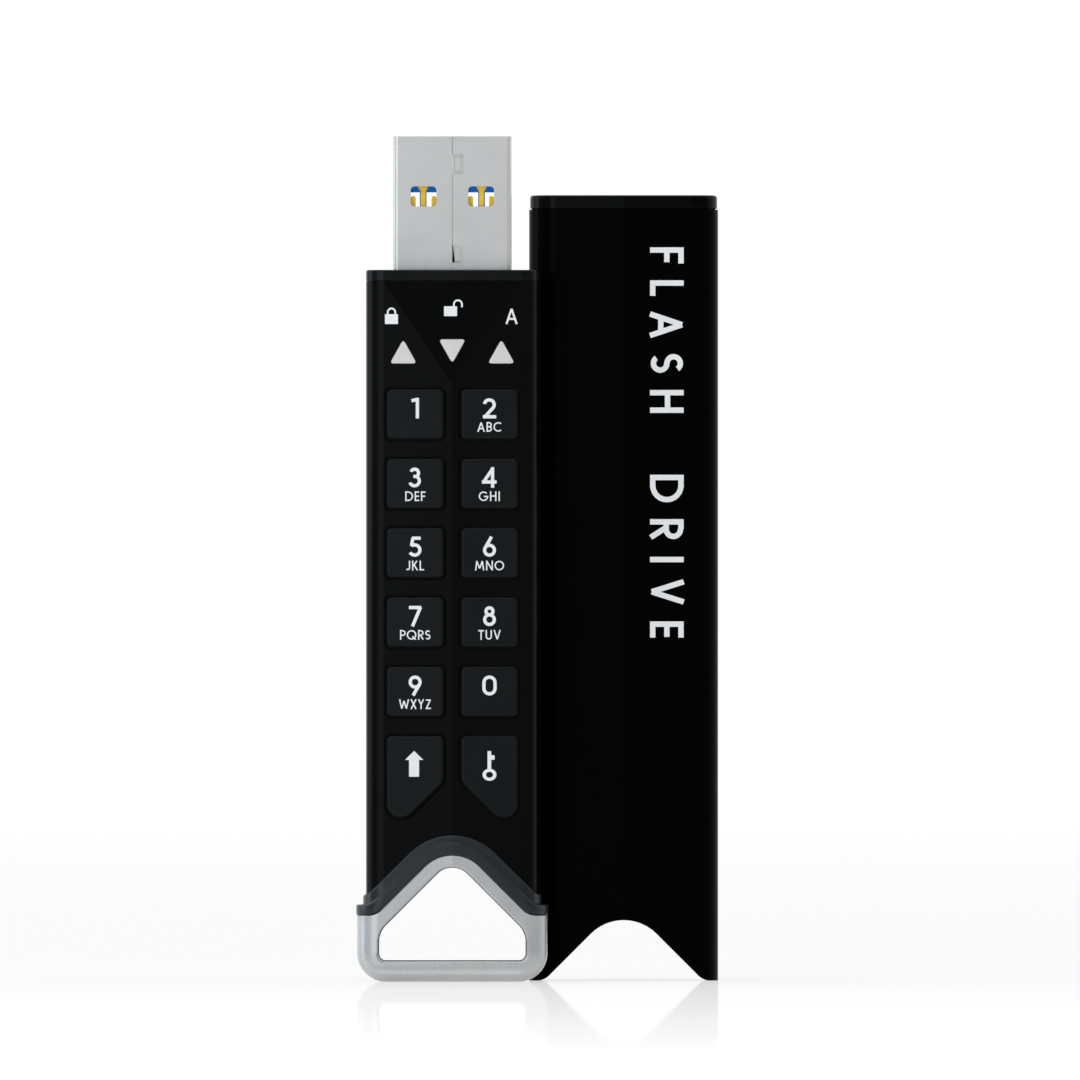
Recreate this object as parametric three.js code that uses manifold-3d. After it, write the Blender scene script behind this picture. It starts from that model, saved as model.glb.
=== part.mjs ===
// A keypad flash drive with its protective sleeve standing beside it.
// Millimetres, +Z up along the drive. The origin is the middle of the bail's flat foot, the keypad
// faces -Y, and +X is to the right of someone reading the keys.
import * as THREE from "three";
import { mergeVertices } from "three/addons/utils/BufferGeometryUtils.js";
import Module from "manifold-3d";

const wasm = await Module();
wasm.setup();

// ---------------------------------------------------------------- driving dimensions

const BODY_WIDTH = 17.5; // housing, side to side
const BODY_DEPTH = 8.9; // housing, front ridge to rear ridge
const BODY_CORNER = 1.8; // radius of the housing's four long edges
const FACET_SLOPE = Math.tan(THREE.MathUtils.degToRad(2.5)); // the faces fall away from the ridge
const BODY_TOP = 71.1; // housing's upper end, under the end plate
const PLATE_TOP = 72.2; // upper face of the end plate
const FRONT_INSIDE = 3.05; // inner face of the front wall, measured from the middle plane
const REAR_INSIDE = 3.35; // inner face of the rear wall
const CAVITY_HALF_WIDTH = 7.75;
const FIT = 0.05; // gap between pieces assembled face to face

const VEE_BOTTOM = 60.5; // lower tip of the V-shaped facet under the end plate
const VEE_HALF_WIDTH = 7.07; // its half width at the housing's upper end

const KEY_WIDTH = 5.8;
const KEY_HEIGHT = 5.05;
const KEY_CORNER = 0.5;
const KEY_PITCH_X = 7.54;
const KEY_PITCH_Z = 7.03;
const KEY_TOP_ROW = 57.57; // centre of the uppermost row
const KEY_GAP = 0.3; // clear gap round a key in its window
const KEY_PROUD = 0.12; // how far a key stands out of the face
const KEY_TRAVEL = 0.3;
const KEY_RIM = 0.2; // the rim behind the wall is this much wider than the window
const KEY_LEGENDS = ["1", "2", "3", "4", "5", "6", "7", "8", "9", "0", "shift", "unlock"];

const LED_SPACING = 4.97;
const LED_CENTRE_Z = 63.9;
const LENS_HALF_WIDTH = 1.5; // of the triangle before its corners are rounded
const LENS_HEIGHT = 2.75;

const COLLAR_GROW = 1.0; // flange beyond the housing, all round
const LIP_GROW = 0.29; // sealing lip beyond the housing
const BAIL_GROW = 0.9;
const BAIL_FOOT_CORNER = 2.9;
const TONGUE_HALF_WIDTH = 3.0;
const TONGUE_HALF_DEPTH = 1.2;
const TONGUE_TOP = 16.6;
const PIN_X = 1.8;
const PIN_Z = 15.1;
const PIN_RADIUS = 0.5;

const PLUG_WIDTH = 12.0; // USB standard A shell
const PLUG_DEPTH = 4.5;
const PLUG_WALL = 0.3;
const PLUG_BASE = 67.0;
const PLUG_TIP = 85.75;
const WINDOW_X = 2.9; // latch windows, from the middle
const WINDOW_Z = 79.68;
const WINDOW_WIDTH = 2.66;
const WINDOW_HEIGHT = 2.0;

const BOARD_FRONT = -1.0;
const BOARD_BACK = -0.2;
const BOARD_BOTTOM = 17.0;
const BOARD_TOP = 66.9;
const BOARD_HALF_WIDTH = 7.3;
const DOME_HEIGHT = 0.22;

const SLEEVE_AT = new THREE.Vector3(17.4, 11.2, 0); // beside and behind the drive
const SLEEVE_WALL = 0.62;
const SLEEVE_INSIDE_GROW = 0.24; // clearance round the housing when the sleeve is on
const SLEEVE_TUBE_TOP = 78.4;
const SLEEVE_TOP = 79.86;

// The chevron edges: a 45 degree roof with a round apex that flattens out at the sides.
// peak is where the two slopes would meet, side the height of the flat ends.
const HOUSING_END = { peak: 15.35, apexRadius: 4.4, side: 7.4, sideRadius: 1.6 };
const FLANGE_TOP = { peak: 16.07, apexRadius: 4.85, side: 7.8, sideRadius: 1.6 };
const FLANGE_BOTTOM = { peak: 14.45, apexRadius: 3.84, side: 6.75, sideRadius: 1.8 };
const BAIL_TOP = { peak: 14.39, apexRadius: 3.84, side: 6.7, sideRadius: 1.8 };
const LIP_TOP = { peak: 17.4, apexRadius: 6.15, side: 8.72, sideRadius: 1.4 };
const POCKET_FLOOR = { peak: 15.28, apexRadius: 4.4, side: 7.33, sideRadius: 1.6 };
const SLEEVE_MOUTH = { peak: 8.1, apexRadius: 4.7, side: 0, sideRadius: 1.6 };

// ---------------------------------------------------------------- materials

function finish(colour, roughness, metalness) {
  return new THREE.MeshStandardMaterial({ color: colour, roughness, metalness });
}

const blackAnodised = finish(0x101112, 0.45, 0.6);
const keyRubber = finish(0x1e2022, 0.6, 0);
const collarRubber = finish(0x2b2e31, 0.55, 0);
const satinNickel = finish(0xb4b6b8, 0.3, 1);
const plugSteel = finish(0xc2c3c5, 0.35, 1);
const bluePlastic = finish(0x0a5ab4, 0.45, 0);
const gold = finish(0xd2a514, 0.3, 1);
const lensPlastic = finish(0xcfcfcf, 0.35, 0);
const boardGreen = finish(0x0c3a22, 0.5, 0);
const chipBlack = finish(0x161616, 0.6, 0);
const domeSteel = finish(0xbfc1c4, 0.3, 1);
const foil = finish(0xa8abad, 0.35, 0.8);
const webRubber = finish(0x17181a, 0.7, 0);
const ledResin = finish(0xf0ead0, 0.3, 0);

// ---------------------------------------------------------------- shapes and solids

// A closed outline through corners of [x, y, radius]; a corner with no radius stays sharp.
function outline(corners) {
  const shape = new THREE.Shape();
  corners.forEach(([x, y, radius = 0], i) => {
    const corner = new THREE.Vector2(x, y);
    const before = corners[(i + corners.length - 1) % corners.length];
    const after = corners[(i + 1) % corners.length];
    const back = new THREE.Vector2(before[0], before[1]).sub(corner).normalize();
    const ahead = new THREE.Vector2(after[0], after[1]).sub(corner).normalize();
    if (radius === 0) {
      if (i === 0) shape.moveTo(x, y);
      else shape.lineTo(x, y);
      return;
    }
    const half = Math.acos(THREE.MathUtils.clamp(back.dot(ahead), -1, 1)) / 2;
    const reach = radius / Math.tan(half);
    const centre = back.clone().add(ahead).normalize().multiplyScalar(radius / Math.sin(half)).add(corner);
    const start = back.multiplyScalar(reach).add(corner);
    const end = ahead.multiplyScalar(reach).add(corner);
    const turnsRight = start.clone().sub(corner).cross(end.clone().sub(corner)) > 0;
    if (i === 0) shape.moveTo(start.x, start.y);
    else shape.lineTo(start.x, start.y);
    shape.absarc(
      centre.x,
      centre.y,
      radius,
      Math.atan2(start.y - centre.y, start.x - centre.x),
      Math.atan2(end.y - centre.y, end.x - centre.x),
      turnsRight,
    );
  });
  shape.closePath();
  return shape;
}

function roundedBox(width, height, radius) {
  const x = width / 2;
  const y = height / 2;
  return outline([
    [-x, -y, radius],
    [x, -y, radius],
    [x, y, radius],
    [-x, y, radius],
  ]);
}

// The housing's cross-section, grown outwards (or inwards) by grow: a ridge front and back.
function bodySection(grow) {
  const x = BODY_WIDTH / 2 + grow;
  const ridge = BODY_DEPTH / 2 + grow;
  const edge = ridge - x * FACET_SLOPE;
  const radius = BODY_CORNER + grow;
  return outline([
    [0, -ridge],
    [x, -edge, radius],
    [x, edge, radius],
    [0, ridge],
    [-x, edge, radius],
    [-x, -edge, radius],
  ]);
}

// Everything above a chevron edge, as an outline in X and Z.
function aboveChevron({ peak, apexRadius, side, sideRadius }) {
  const far = BODY_WIDTH;
  const top = BODY_TOP + 20;
  return outline([
    [far, top],
    [-far, top],
    [-far, side],
    [side - peak, side, sideRadius],
    [0, peak, apexRadius],
    [peak - side, side, sideRadius],
    [far, side],
  ]);
}

function alongZ(shape, low, high, segments = 3) {
  return new THREE.ExtrudeGeometry(shape, {
    depth: high - low,
    bevelEnabled: false,
    curveSegments: segments,
  }).translate(0, 0, low);
}

// The shape's own x and y become X and Z.
function alongY(shape, front, back, segments = 3) {
  return new THREE.ExtrudeGeometry(shape, {
    depth: back - front,
    bevelEnabled: false,
    curveSegments: segments,
  })
    .rotateX(Math.PI / 2)
    .translate(0, back, 0);
}

// The shape's own x and y become Y and Z.
function alongX(shape, left, right, segments = 3) {
  const turn = new THREE.Matrix4().set(0, 0, 1, 0, 1, 0, 0, 0, 0, 1, 0, 0, 0, 0, 0, 1);
  return new THREE.ExtrudeGeometry(shape, {
    depth: right - left,
    bevelEnabled: false,
    curveSegments: segments,
  })
    .applyMatrix4(turn)
    .translate(left, 0, 0);
}

function block(x0, x1, y0, y1, z0, z1) {
  return new THREE.BoxGeometry(x1 - x0, y1 - y0, z1 - z0).translate(
    (x0 + x1) / 2,
    (y0 + y1) / 2,
    (z0 + z1) / 2,
  );
}

// A round rod along Y.
function rod(radius, front, back, x, z, segments = 12) {
  return new THREE.CylinderGeometry(radius, radius, back - front, segments).translate(
    x,
    (front + back) / 2,
    z,
  );
}

// A closed geometry as a manifold-3d solid, which can be joined and cut.
function solid(geometry) {
  const bare = geometry.index ? geometry.toNonIndexed() : geometry.clone();
  bare.deleteAttribute("normal");
  bare.deleteAttribute("uv");
  const merged = mergeVertices(bare, 1e-4);
  return new wasm.Manifold(
    new wasm.Mesh({
      numProp: 3,
      vertProperties: new Float32Array(merged.attributes.position.array),
      triVerts: new Uint32Array(merged.index.array),
    }),
  );
}

function geometryOf(manifold) {
  const { numProp, vertProperties, triVerts } = manifold.getMesh();
  const positions = new Float32Array((vertProperties.length / numProp) * 3);
  for (let i = 0; i < positions.length / 3; i++) {
    positions.set(vertProperties.subarray(i * numProp, i * numProp + 3), i * 3);
  }
  return new THREE.BufferGeometry()
    .setAttribute("position", new THREE.BufferAttribute(positions, 3))
    .setIndex(new THREE.BufferAttribute(new Uint32Array(triVerts), 1));
}

function cut(whole, ...tools) {
  return tools.reduce((left, tool) => left.subtract(solid(tool)), whole);
}

function piece(name, shape, material, parent) {
  const geometry = shape.isBufferGeometry ? shape : geometryOf(shape);
  const mesh = new THREE.Mesh(geometry, material);
  mesh.name = name;
  parent.add(mesh);
  return mesh;
}

// ---------------------------------------------------------------- keys and lenses

function keyCentre(index) {
  const column = index % 2 === 0 ? -1 : 1;
  const row = Math.floor(index / 2);
  return { side: column, x: (column * KEY_PITCH_X) / 2, z: KEY_TOP_ROW - row * KEY_PITCH_Z };
}

// Outline of a key about the centre of its place in the grid. The lowest pair reach further down,
// with one large round corner outside and a 45 degree side towards the middle.
function keyOutline(index, grow) {
  const { side } = keyCentre(index);
  const x = KEY_WIDTH / 2 + grow;
  const top = KEY_HEIGHT / 2 + grow;
  const corner = KEY_CORNER + grow;
  if (index < 10) return roundedBox(2 * x, 2 * top, corner);
  const bottom = -5.79 - grow;
  const round = 1.4 + grow;
  const slope = -2.12 - grow * (Math.SQRT2 - 1); // height of the sloping side's upper end
  const run = slope - bottom; // its drop is its run, at 45 degrees
  const corners = [
    [-x, bottom, round],
    [x - run, bottom, round],
    [x, slope, 1.2 + grow],
    [x, top, corner],
    [-x, top, corner],
  ];
  if (side < 0) return outline(corners);
  return outline(corners.map(([cx, cy, r]) => [-cx, cy, r]).reverse());
}

function lensOutline(pointsUp, grow) {
  const w = LENS_HALF_WIDTH + grow * 1.7;
  const low = -LENS_HEIGHT / 3 - grow;
  const high = (LENS_HEIGHT * 2) / 3 + grow * 2;
  const r = 0.24 + grow;
  if (pointsUp) {
    return outline([
      [-w, low, r],
      [w, low, r],
      [0, high, r],
    ]);
  }
  return outline([
    [-w, -low, r],
    [0, -high, r],
    [w, -low, r],
  ]);
}

const INDICATORS = [
  { name: "lock", x: -LED_SPACING, z: LED_CENTRE_Z - 0.3, pointsUp: true },
  { name: "unlock", x: 0, z: LED_CENTRE_Z + 0.35, pointsUp: false },
  { name: "admin", x: LED_SPACING, z: LED_CENTRE_Z - 0.3, pointsUp: true },
];

// How far the front face falls back with height on the V-shaped facet.
const VEE_SLOPE = (FACET_SLOPE * VEE_HALF_WIDTH) / (BODY_TOP - VEE_BOTTOM);

// ---------------------------------------------------------------- housing

// Material in front of the V facet's plane, with a copy for the rear face.
function veeWedges() {
  const lean = Math.atan(VEE_SLOPE);
  const front = block(-20, 20, -10, 0, -30, 30)
    .rotateX(-lean)
    .translate(0, -BODY_DEPTH / 2, VEE_BOTTOM);
  const rear = block(-20, 20, 0, 10, -30, 30)
    .rotateX(lean)
    .translate(0, BODY_DEPTH / 2, VEE_BOTTOM);
  return [front, rear];
}

// The whole outside of the housing, before it is split and hollowed.
function housingSolid() {
  const whole = solid(alongZ(bodySection(0), 0, BODY_TOP));
  const trimmed = cut(whole, ...veeWedges());
  return trimmed.intersect(solid(alongY(aboveChevron(HOUSING_END), -10, 10)));
}

function cavity(front, back) {
  const middle = (front + back) / 2;
  const shape = roundedBox(2 * CAVITY_HALF_WIDTH, back - front, 0.3);
  return alongZ(shape, -1, BODY_TOP + 1, 1).translate(0, middle, 0);
}

function frontCover(parent) {
  let cover = cut(housingSolid(), block(-20, 20, 0, 20, -5, 90), cavity(-FRONT_INSIDE, FRONT_INSIDE));
  KEY_LEGENDS.forEach((_, index) => {
    const { x, z } = keyCentre(index);
    const window = alongY(keyOutline(index, KEY_GAP), -6, -2, 2).translate(x, 0, z);
    cover = cut(cover, window);
  });
  INDICATORS.forEach(({ x, z, pointsUp }) => {
    cover = cut(cover, alongY(lensOutline(pointsUp, FIT), -6, -2, 1).translate(x, 0, z));
  });
  piece("front_cover", cover, blackAnodised, parent);
}

function rearShell(parent) {
  const seam = 0.06;
  const hollow = cavity(-REAR_INSIDE, REAR_INSIDE);
  let shell = cut(housingSolid(), block(-20, 20, -20, seam, -5, 90), hollow);
  for (const side of [-1, 1]) {
    const boss = rod(0.95, TONGUE_HALF_DEPTH + 0.1, REAR_INSIDE + 0.3, side * PIN_X, PIN_Z);
    shell = shell.add(solid(boss));
    shell = cut(shell, rod(PIN_RADIUS + FIT, 1, REAR_INSIDE - 0.15, side * PIN_X, PIN_Z));
  }
  piece("rear_shell", shell, blackAnodised, parent);
}

function topEndPlate(parent) {
  const flat = BODY_DEPTH - 2 * VEE_HALF_WIDTH * FACET_SLOPE; // front to back above the V facets
  const plate = new THREE.ExtrudeGeometry(roundedBox(BODY_WIDTH, flat, BODY_CORNER), {
    depth: PLATE_TOP - BODY_TOP - FIT - 0.15,
    bevelThickness: 0.15,
    bevelSize: 0.15,
    bevelOffset: -0.15,
    bevelSegments: 1,
    curveSegments: 3,
  }).translate(0, 0, BODY_TOP + FIT);
  // Only the upper edge keeps its bevel: the lower one is squared off again.
  const base = alongZ(roundedBox(BODY_WIDTH, flat, BODY_CORNER), BODY_TOP + FIT, PLATE_TOP - 0.3);
  const skirt = alongZ(
    roundedBox(2 * (CAVITY_HALF_WIDTH - FIT), 2 * (FRONT_INSIDE - FIT), 0.7),
    BODY_TOP - 1.6,
    BODY_TOP + 0.5,
    1,
  );
  const below = block(-20, 20, -20, 20, 60, BODY_TOP + FIT);
  const hole = alongZ(roundedBox(PLUG_WIDTH + 2 * FIT, PLUG_DEPTH + 2 * FIT, 0.55), 60, 80, 2);
  const whole = cut(solid(plate), below).add(solid(base)).add(solid(skirt));
  piece("top_end_plate", cut(whole, hole), blackAnodised, parent);
}

// ---------------------------------------------------------------- collar, bail and its pins

function collar(parent) {
  const flange = solid(alongZ(bodySection(COLLAR_GROW), 4, 20))
    .intersect(solid(alongY(aboveChevron(FLANGE_BOTTOM), -10, 10)))
    .subtract(solid(alongY(aboveChevron(FLANGE_TOP), -10, 10)));
  const lip = solid(alongZ(bodySection(LIP_GROW), 4, 20))
    .intersect(solid(alongY(aboveChevron(FLANGE_BOTTOM), -10, 10)))
    .subtract(solid(alongY(aboveChevron(LIP_TOP), -10, 10)));
  const pocket = solid(alongZ(bodySection(FIT), 4, 25)).intersect(
    solid(alongY(aboveChevron(POCKET_FLOOR), -10, 10)),
  );
  const slot = block(
    -TONGUE_HALF_WIDTH - FIT,
    TONGUE_HALF_WIDTH + FIT,
    -TONGUE_HALF_DEPTH - FIT,
    TONGUE_HALF_DEPTH + FIT,
    4,
    25,
  );
  piece("collar", cut(flange.add(lip).subtract(pocket), slot), collarRubber, parent);
}

function bail(parent) {
  const x = BODY_WIDTH / 2 + BAIL_GROW;
  const { peak, apexRadius, side, sideRadius } = BAIL_TOP;
  const frontView = outline([
    [-x, 0, BAIL_FOOT_CORNER],
    [x, 0, BAIL_FOOT_CORNER],
    [x, side],
    [peak - side, side, sideRadius],
    [0, peak, apexRadius],
    [side - peak, side, sideRadius],
    [-x, side],
  ]);
  const opening = outline([
    [-7.53, 2.04, 0.78],
    [7.53, 2.04, 0.78],
    [7.53, 5.04, 2.2],
    [0, 12.57, 2.25],
    [-7.53, 5.04, 2.2],
  ]);
  const depth = BODY_DEPTH / 2 + BAIL_GROW;
  const sideView = outline([
    [-depth, 0, 1.8],
    [depth, 0, 1.8],
    [depth, 20],
    [-depth, 20],
  ]);
  const loop = solid(alongY(frontView, -10, 10, 4))
    .intersect(solid(alongZ(bodySection(BAIL_GROW), 0, 20)))
    .intersect(solid(alongX(sideView, -12, 12)));
  const tongue = block(
    -TONGUE_HALF_WIDTH,
    TONGUE_HALF_WIDTH,
    -TONGUE_HALF_DEPTH,
    TONGUE_HALF_DEPTH,
    12.0,
    TONGUE_TOP,
  );
  const whole = cut(loop.add(solid(tongue)), alongY(opening, -10, 10, 3));
  const holes = [-1, 1].map((s) => rod(PIN_RADIUS + FIT, -5, 5, s * PIN_X, PIN_Z));
  piece("bail", cut(whole, ...holes), satinNickel, parent);
}

function bailPins(parent) {
  for (const [name, s] of [
    ["bail_pin_left", -1],
    ["bail_pin_right", 1],
  ]) {
    const pin = piece(name, rod(PIN_RADIUS, -1.15, REAR_INSIDE - 0.3, 0, 0), plugSteel, parent);
    pin.position.set(s * PIN_X, 0, PIN_Z);
  }
}

// ---------------------------------------------------------------- USB plug

// The slit where the bent shell's two edges meet, with its two square interlocking tabs.
function seamSlits(width) {
  const half = width / 2;
  const front = -PLUG_DEPTH / 2 - 1;
  const back = -PLUG_DEPTH / 2 + 1;
  const tabs = [
    { high: 83.9, low: 82.0, reach: 1.0 },
    { high: 74.65, low: 72.95, reach: 0.9 },
  ];
  const slits = [];
  let from = PLUG_TIP + 1;
  for (const { high, low, reach } of tabs) {
    slits.push(block(-half, half, front, back, high - half, from));
    slits.push(block(-half, reach + half, front, back, high - half, high + half));
    slits.push(block(reach - half, reach + half, front, back, low - half, high + half));
    slits.push(block(-half, reach + half, front, back, low - half, low + half));
    from = low + half;
  }
  slits.push(block(-half, half, front, back, PLUG_BASE - 1, from));
  return slits;
}

function usbShell(parent) {
  const ring = roundedBox(PLUG_WIDTH, PLUG_DEPTH, 0.5);
  ring.holes.push(roundedBox(PLUG_WIDTH - 2 * PLUG_WALL, PLUG_DEPTH - 2 * PLUG_WALL, 0.25));
  const windows = [-1, 1].map((s) =>
    alongY(roundedBox(WINDOW_WIDTH, WINDOW_HEIGHT, 0.4), -10, 10, 2).translate(
      s * WINDOW_X,
      0,
      WINDOW_Z,
    ),
  );
  const tube = solid(alongZ(ring, PLUG_BASE, PLUG_TIP, 2));
  piece("usb_shell", cut(tube, ...windows, ...seamSlits(0.06)), plugSteel, parent);
}

// Each contact strip: its centre, width and the height where it ends.
const CONTACTS = [
  ...[-2.9, -1.0, 1.0, 2.9].map((x, i) => ({
    name: `usb_contact_${i + 1}`,
    x,
    width: 0.58,
    top: 84.6,
    padX: Math.sign(x) * (Math.abs(x) > 2 ? 3.3 : 1.0),
  })),
  ...[-3.97, -1.86, 0, 1.86, 3.97].map((x, i) => ({
    name: `usb_fast_contact_${i + 1}`,
    x,
    width: i === 2 ? 0.6 : 0.5,
    top: 79.7,
    padX: null,
  })),
];
const CONTACT_FRONT = -0.15;
const CONTACT_BACK = 0;
const CONTACT_FOOT = 65.4;

function usbContacts(parent) {
  for (const { name, x, width, top, padX } of CONTACTS) {
    let strip = solid(
      block(x - width / 2, x + width / 2, CONTACT_FRONT, CONTACT_BACK, CONTACT_FOOT, top),
    );
    if (padX === null) {
      // The spring end of a fast contact stands off the tongue.
      const bump = block(x - width / 2, x + width / 2, CONTACT_BACK - 0.05, 0.35, top - 1.1, top - 0.4);
      strip = strip.add(solid(bump));
    } else {
      const pad = block(padX - 0.55, padX + 0.55, CONTACT_FRONT, CONTACT_BACK, 80.9, top);
      const flare = outline([
        [x - width / 2, 80.15],
        [x + width / 2, 80.15],
        [x + 0.5, 80.65],
        [x + 0.5, 81],
        [x - 0.5, 81],
        [x - 0.5, 80.65],
      ]);
      strip = strip.add(solid(pad)).add(solid(alongY(flare, CONTACT_FRONT, CONTACT_BACK)));
    }
    piece(name, strip, gold, parent);
  }
}

function usbTongue(parent) {
  const x = PLUG_WIDTH / 2 - PLUG_WALL - FIT;
  const y = PLUG_DEPTH / 2 - PLUG_WALL - FIT;
  const shelf = CONTACT_FRONT - 0.02;
  const inside = alongZ(roundedBox(2 * x, 2 * y, 0.3), PLUG_BASE, PLUG_TIP - 0.55, 2);
  let tongue = cut(solid(inside), block(-x - 1, x + 1, shelf, 5, BODY_TOP - 0.1, PLUG_TIP));
  for (const s of [-1, 1]) {
    const middle = s * WINDOW_X;
    const half = WINDOW_WIDTH / 2 + 0.04;
    tongue = cut(tongue, block(middle - half, middle + half, -5, 5, 78.3, 80.08));
  }
  for (const { x: at, width } of CONTACTS) {
    const half = width / 2 + FIT;
    tongue = cut(tongue, block(at - half, at + half, shelf, CONTACT_BACK + FIT, 60, BODY_TOP + 1));
  }
  piece("usb_tongue", tongue, bluePlastic, parent);
}

// ---------------------------------------------------------------- electronics

function mainBoard(parent) {
  const height = BOARD_TOP - BOARD_BOTTOM;
  const shape = roundedBox(2 * BOARD_HALF_WIDTH, height, 0.8);
  const board = piece("main_board", alongY(shape, BOARD_FRONT, BOARD_BACK, 1), boardGreen, parent);
  board.position.z = (BOARD_TOP + BOARD_BOTTOM) / 2;
}

function domeSheet(parent) {
  const back = BOARD_FRONT - 0.03;
  const front = back - 0.1;
  let sheet = solid(block(-7, 7, front, back, 17.4, 61));
  KEY_LEGENDS.forEach((_, index) => {
    const { x, z } = keyCentre(index);
    const dome = new THREE.CylinderGeometry(1.9, 1.1, DOME_HEIGHT + 0.05, 10).translate(
      x,
      front + 0.05 - (DOME_HEIGHT + 0.05) / 2,
      z,
    );
    sheet = sheet.add(solid(dome));
  });
  piece("dome_sheet", sheet, domeSteel, parent);
  return front - DOME_HEIGHT;
}

const RIM_FRONT = -FRONT_INSIDE + 0.1;
const RIM_BACK = RIM_FRONT + 0.3;

function keypadWeb(parent) {
  let web = solid(block(-7.4, 7.4, RIM_FRONT, RIM_BACK, 15.4, 61.2));
  KEY_LEGENDS.forEach((_, index) => {
    const { x, z } = keyCentre(index);
    const hole = alongY(keyOutline(index, KEY_GAP + KEY_RIM + 0.06), -6, -1, 1);
    web = cut(web, hole.translate(x, 0, z));
  });
  piece("keypad_web", web, webRubber, parent);
}

function keys(parent, domeTop) {
  KEY_LEGENDS.forEach((legend, index) => {
    const { side, x, z } = keyCentre(index);
    const face = -BODY_DEPTH / 2 + Math.abs(x) * FACET_SLOPE;
    const lean = new THREE.Matrix4().makeShear(side * FACET_SLOPE, 0, 0, 0, 0, 0);
    const edge = 0.18;
    const cap = new THREE.ExtrudeGeometry(keyOutline(index, 0), {
      depth: 1.0,
      bevelThickness: edge,
      bevelSize: edge,
      bevelOffset: -edge,
      bevelSegments: 1,
      curveSegments: 2,
    })
      .rotateX(Math.PI / 2)
      .translate(0, 1.0 + edge + face - KEY_PROUD, 0)
      .applyMatrix4(lean);
    const stem = alongY(keyOutline(index, -0.25), face + 0.7, RIM_BACK - 0.1, 1);
    const rim = alongY(keyOutline(index, KEY_GAP + KEY_RIM), RIM_FRONT, RIM_BACK, 1);
    const post = rod(1.0, RIM_BACK - 0.1, domeTop - KEY_TRAVEL - 0.02, 0, 0, 10);
    const whole = [stem, rim, post].reduce((all, part) => all.add(solid(part)), solid(cap));
    const key = piece(`key_${legend}`, whole, keyRubber, parent);
    key.position.set(x, 0, z);
  });
}

function indicators(parent) {
  for (const { name, x, z, pointsUp } of INDICATORS) {
    const onVee = x === 0;
    const face = onVee
      ? -BODY_DEPTH / 2 + (z - VEE_BOTTOM) * VEE_SLOPE
      : -BODY_DEPTH / 2 + Math.abs(x) * FACET_SLOPE;
    const lean = onVee
      ? new THREE.Matrix4().makeShear(0, 0, 0, 0, 0, VEE_SLOPE)
      : new THREE.Matrix4().makeShear(Math.sign(x) * FACET_SLOPE, 0, 0, 0, 0, 0);
    const head = alongY(lensOutline(pointsUp, 0), face - 0.03, -2.6, 1).applyMatrix4(lean);
    const foot = alongY(lensOutline(pointsUp, 0.25), -FRONT_INSIDE + 0.05, -1.85, 1);
    const lens = piece(`lens_${name}`, solid(head).add(solid(foot)), lensPlastic, parent);
    lens.position.set(x, 0, z);
    const led = piece(`led_${name}`, block(-0.8, 0.8, -1.7, -1.05, -0.4, 0.4), ledResin, parent);
    led.position.set(x, 0, z);
  }
}

function electronics(parent) {
  const back = BOARD_BACK + FIT;
  const chip = (name, width, height, thick, x, z, material) => {
    const shape = roundedBox(width, height, 0.3);
    const mesh = piece(name, alongY(shape, back, back + thick, 1), material, parent);
    mesh.position.set(x, 0, z);
  };
  chip("flash_chip", 12, 14, 1.0, 0, 52.5, chipBlack);
  chip("security_controller", 7, 7, 0.9, -2.6, 39.8, chipBlack);
  chip("bridge_chip", 5, 5, 0.9, 4.2, 39.8, chipBlack);
  chip("crystal", 3.2, 2.5, 0.7, 4.4, 34.6, domeSteel);
  const cell = piece(
    "battery",
    alongY(roundedBox(12.5, 28, 0.9), 1.15, 3.2, 1),
    foil,
    parent,
  );
  cell.position.z = 36;
  for (const [name, x] of [
    ["battery_tab_plus", 3],
    ["battery_tab_minus", -3],
  ]) {
    const strip = solid(block(-1, 1, 1.25, 1.4, 50.05, 60.6)).add(
      solid(block(-1, 1, back, 1.4, 60.45, 60.6)),
    );
    const tab = piece(name, strip, domeSteel, parent);
    tab.position.x = x;
  }
}

// ---------------------------------------------------------------- sleeve

function sleeveTube(parent) {
  const outside = SLEEVE_INSIDE_GROW + SLEEVE_WALL;
  const tube = solid(alongZ(bodySection(outside), -1, SLEEVE_TUBE_TOP)).subtract(
    solid(alongZ(bodySection(SLEEVE_INSIDE_GROW), -2, SLEEVE_TUBE_TOP + 1)),
  );
  const kept = tube.intersect(solid(alongY(aboveChevron(SLEEVE_MOUTH), -10, 10)));
  piece("sleeve_tube", kept, blackAnodised, parent);
}

function sleeveCap(parent) {
  const low = SLEEVE_TUBE_TOP + 0.14;
  const edge = 0.25;
  const top = new THREE.ExtrudeGeometry(bodySection(0.72), {
    depth: 1,
    bevelThickness: edge,
    bevelSize: edge,
    bevelOffset: -edge,
    bevelSegments: 1,
    curveSegments: 3,
  }).translate(0, 0, SLEEVE_TOP - edge - 1);
  const head = cut(solid(top), block(-20, 20, -20, 20, 70, low));
  const skirt = alongZ(bodySection(SLEEVE_INSIDE_GROW - FIT), SLEEVE_TUBE_TOP - 1.5, low + 0.3);
  piece("sleeve_cap", head.add(solid(skirt)), blackAnodised, parent);
  const ring = solid(alongZ(bodySection(0.6), SLEEVE_TUBE_TOP + 0.02, low - 0.02)).subtract(
    solid(alongZ(bodySection(SLEEVE_INSIDE_GROW), 70, 90)),
  );
  piece("sleeve_cap_gasket", ring, collarRubber, parent);
}

// ---------------------------------------------------------------- assembly

const drive = new THREE.Group();
frontCover(drive);
rearShell(drive);
topEndPlate(drive);
collar(drive);
bail(drive);
bailPins(drive);
usbShell(drive);
usbTongue(drive);
usbContacts(drive);
mainBoard(drive);
keypadWeb(drive);
keys(drive, domeSheet(drive));
indicators(drive);
electronics(drive);

const sleeve = new THREE.Group();
sleeve.position.copy(SLEEVE_AT);
sleeveTube(sleeve);
sleeveCap(sleeve);

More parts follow.
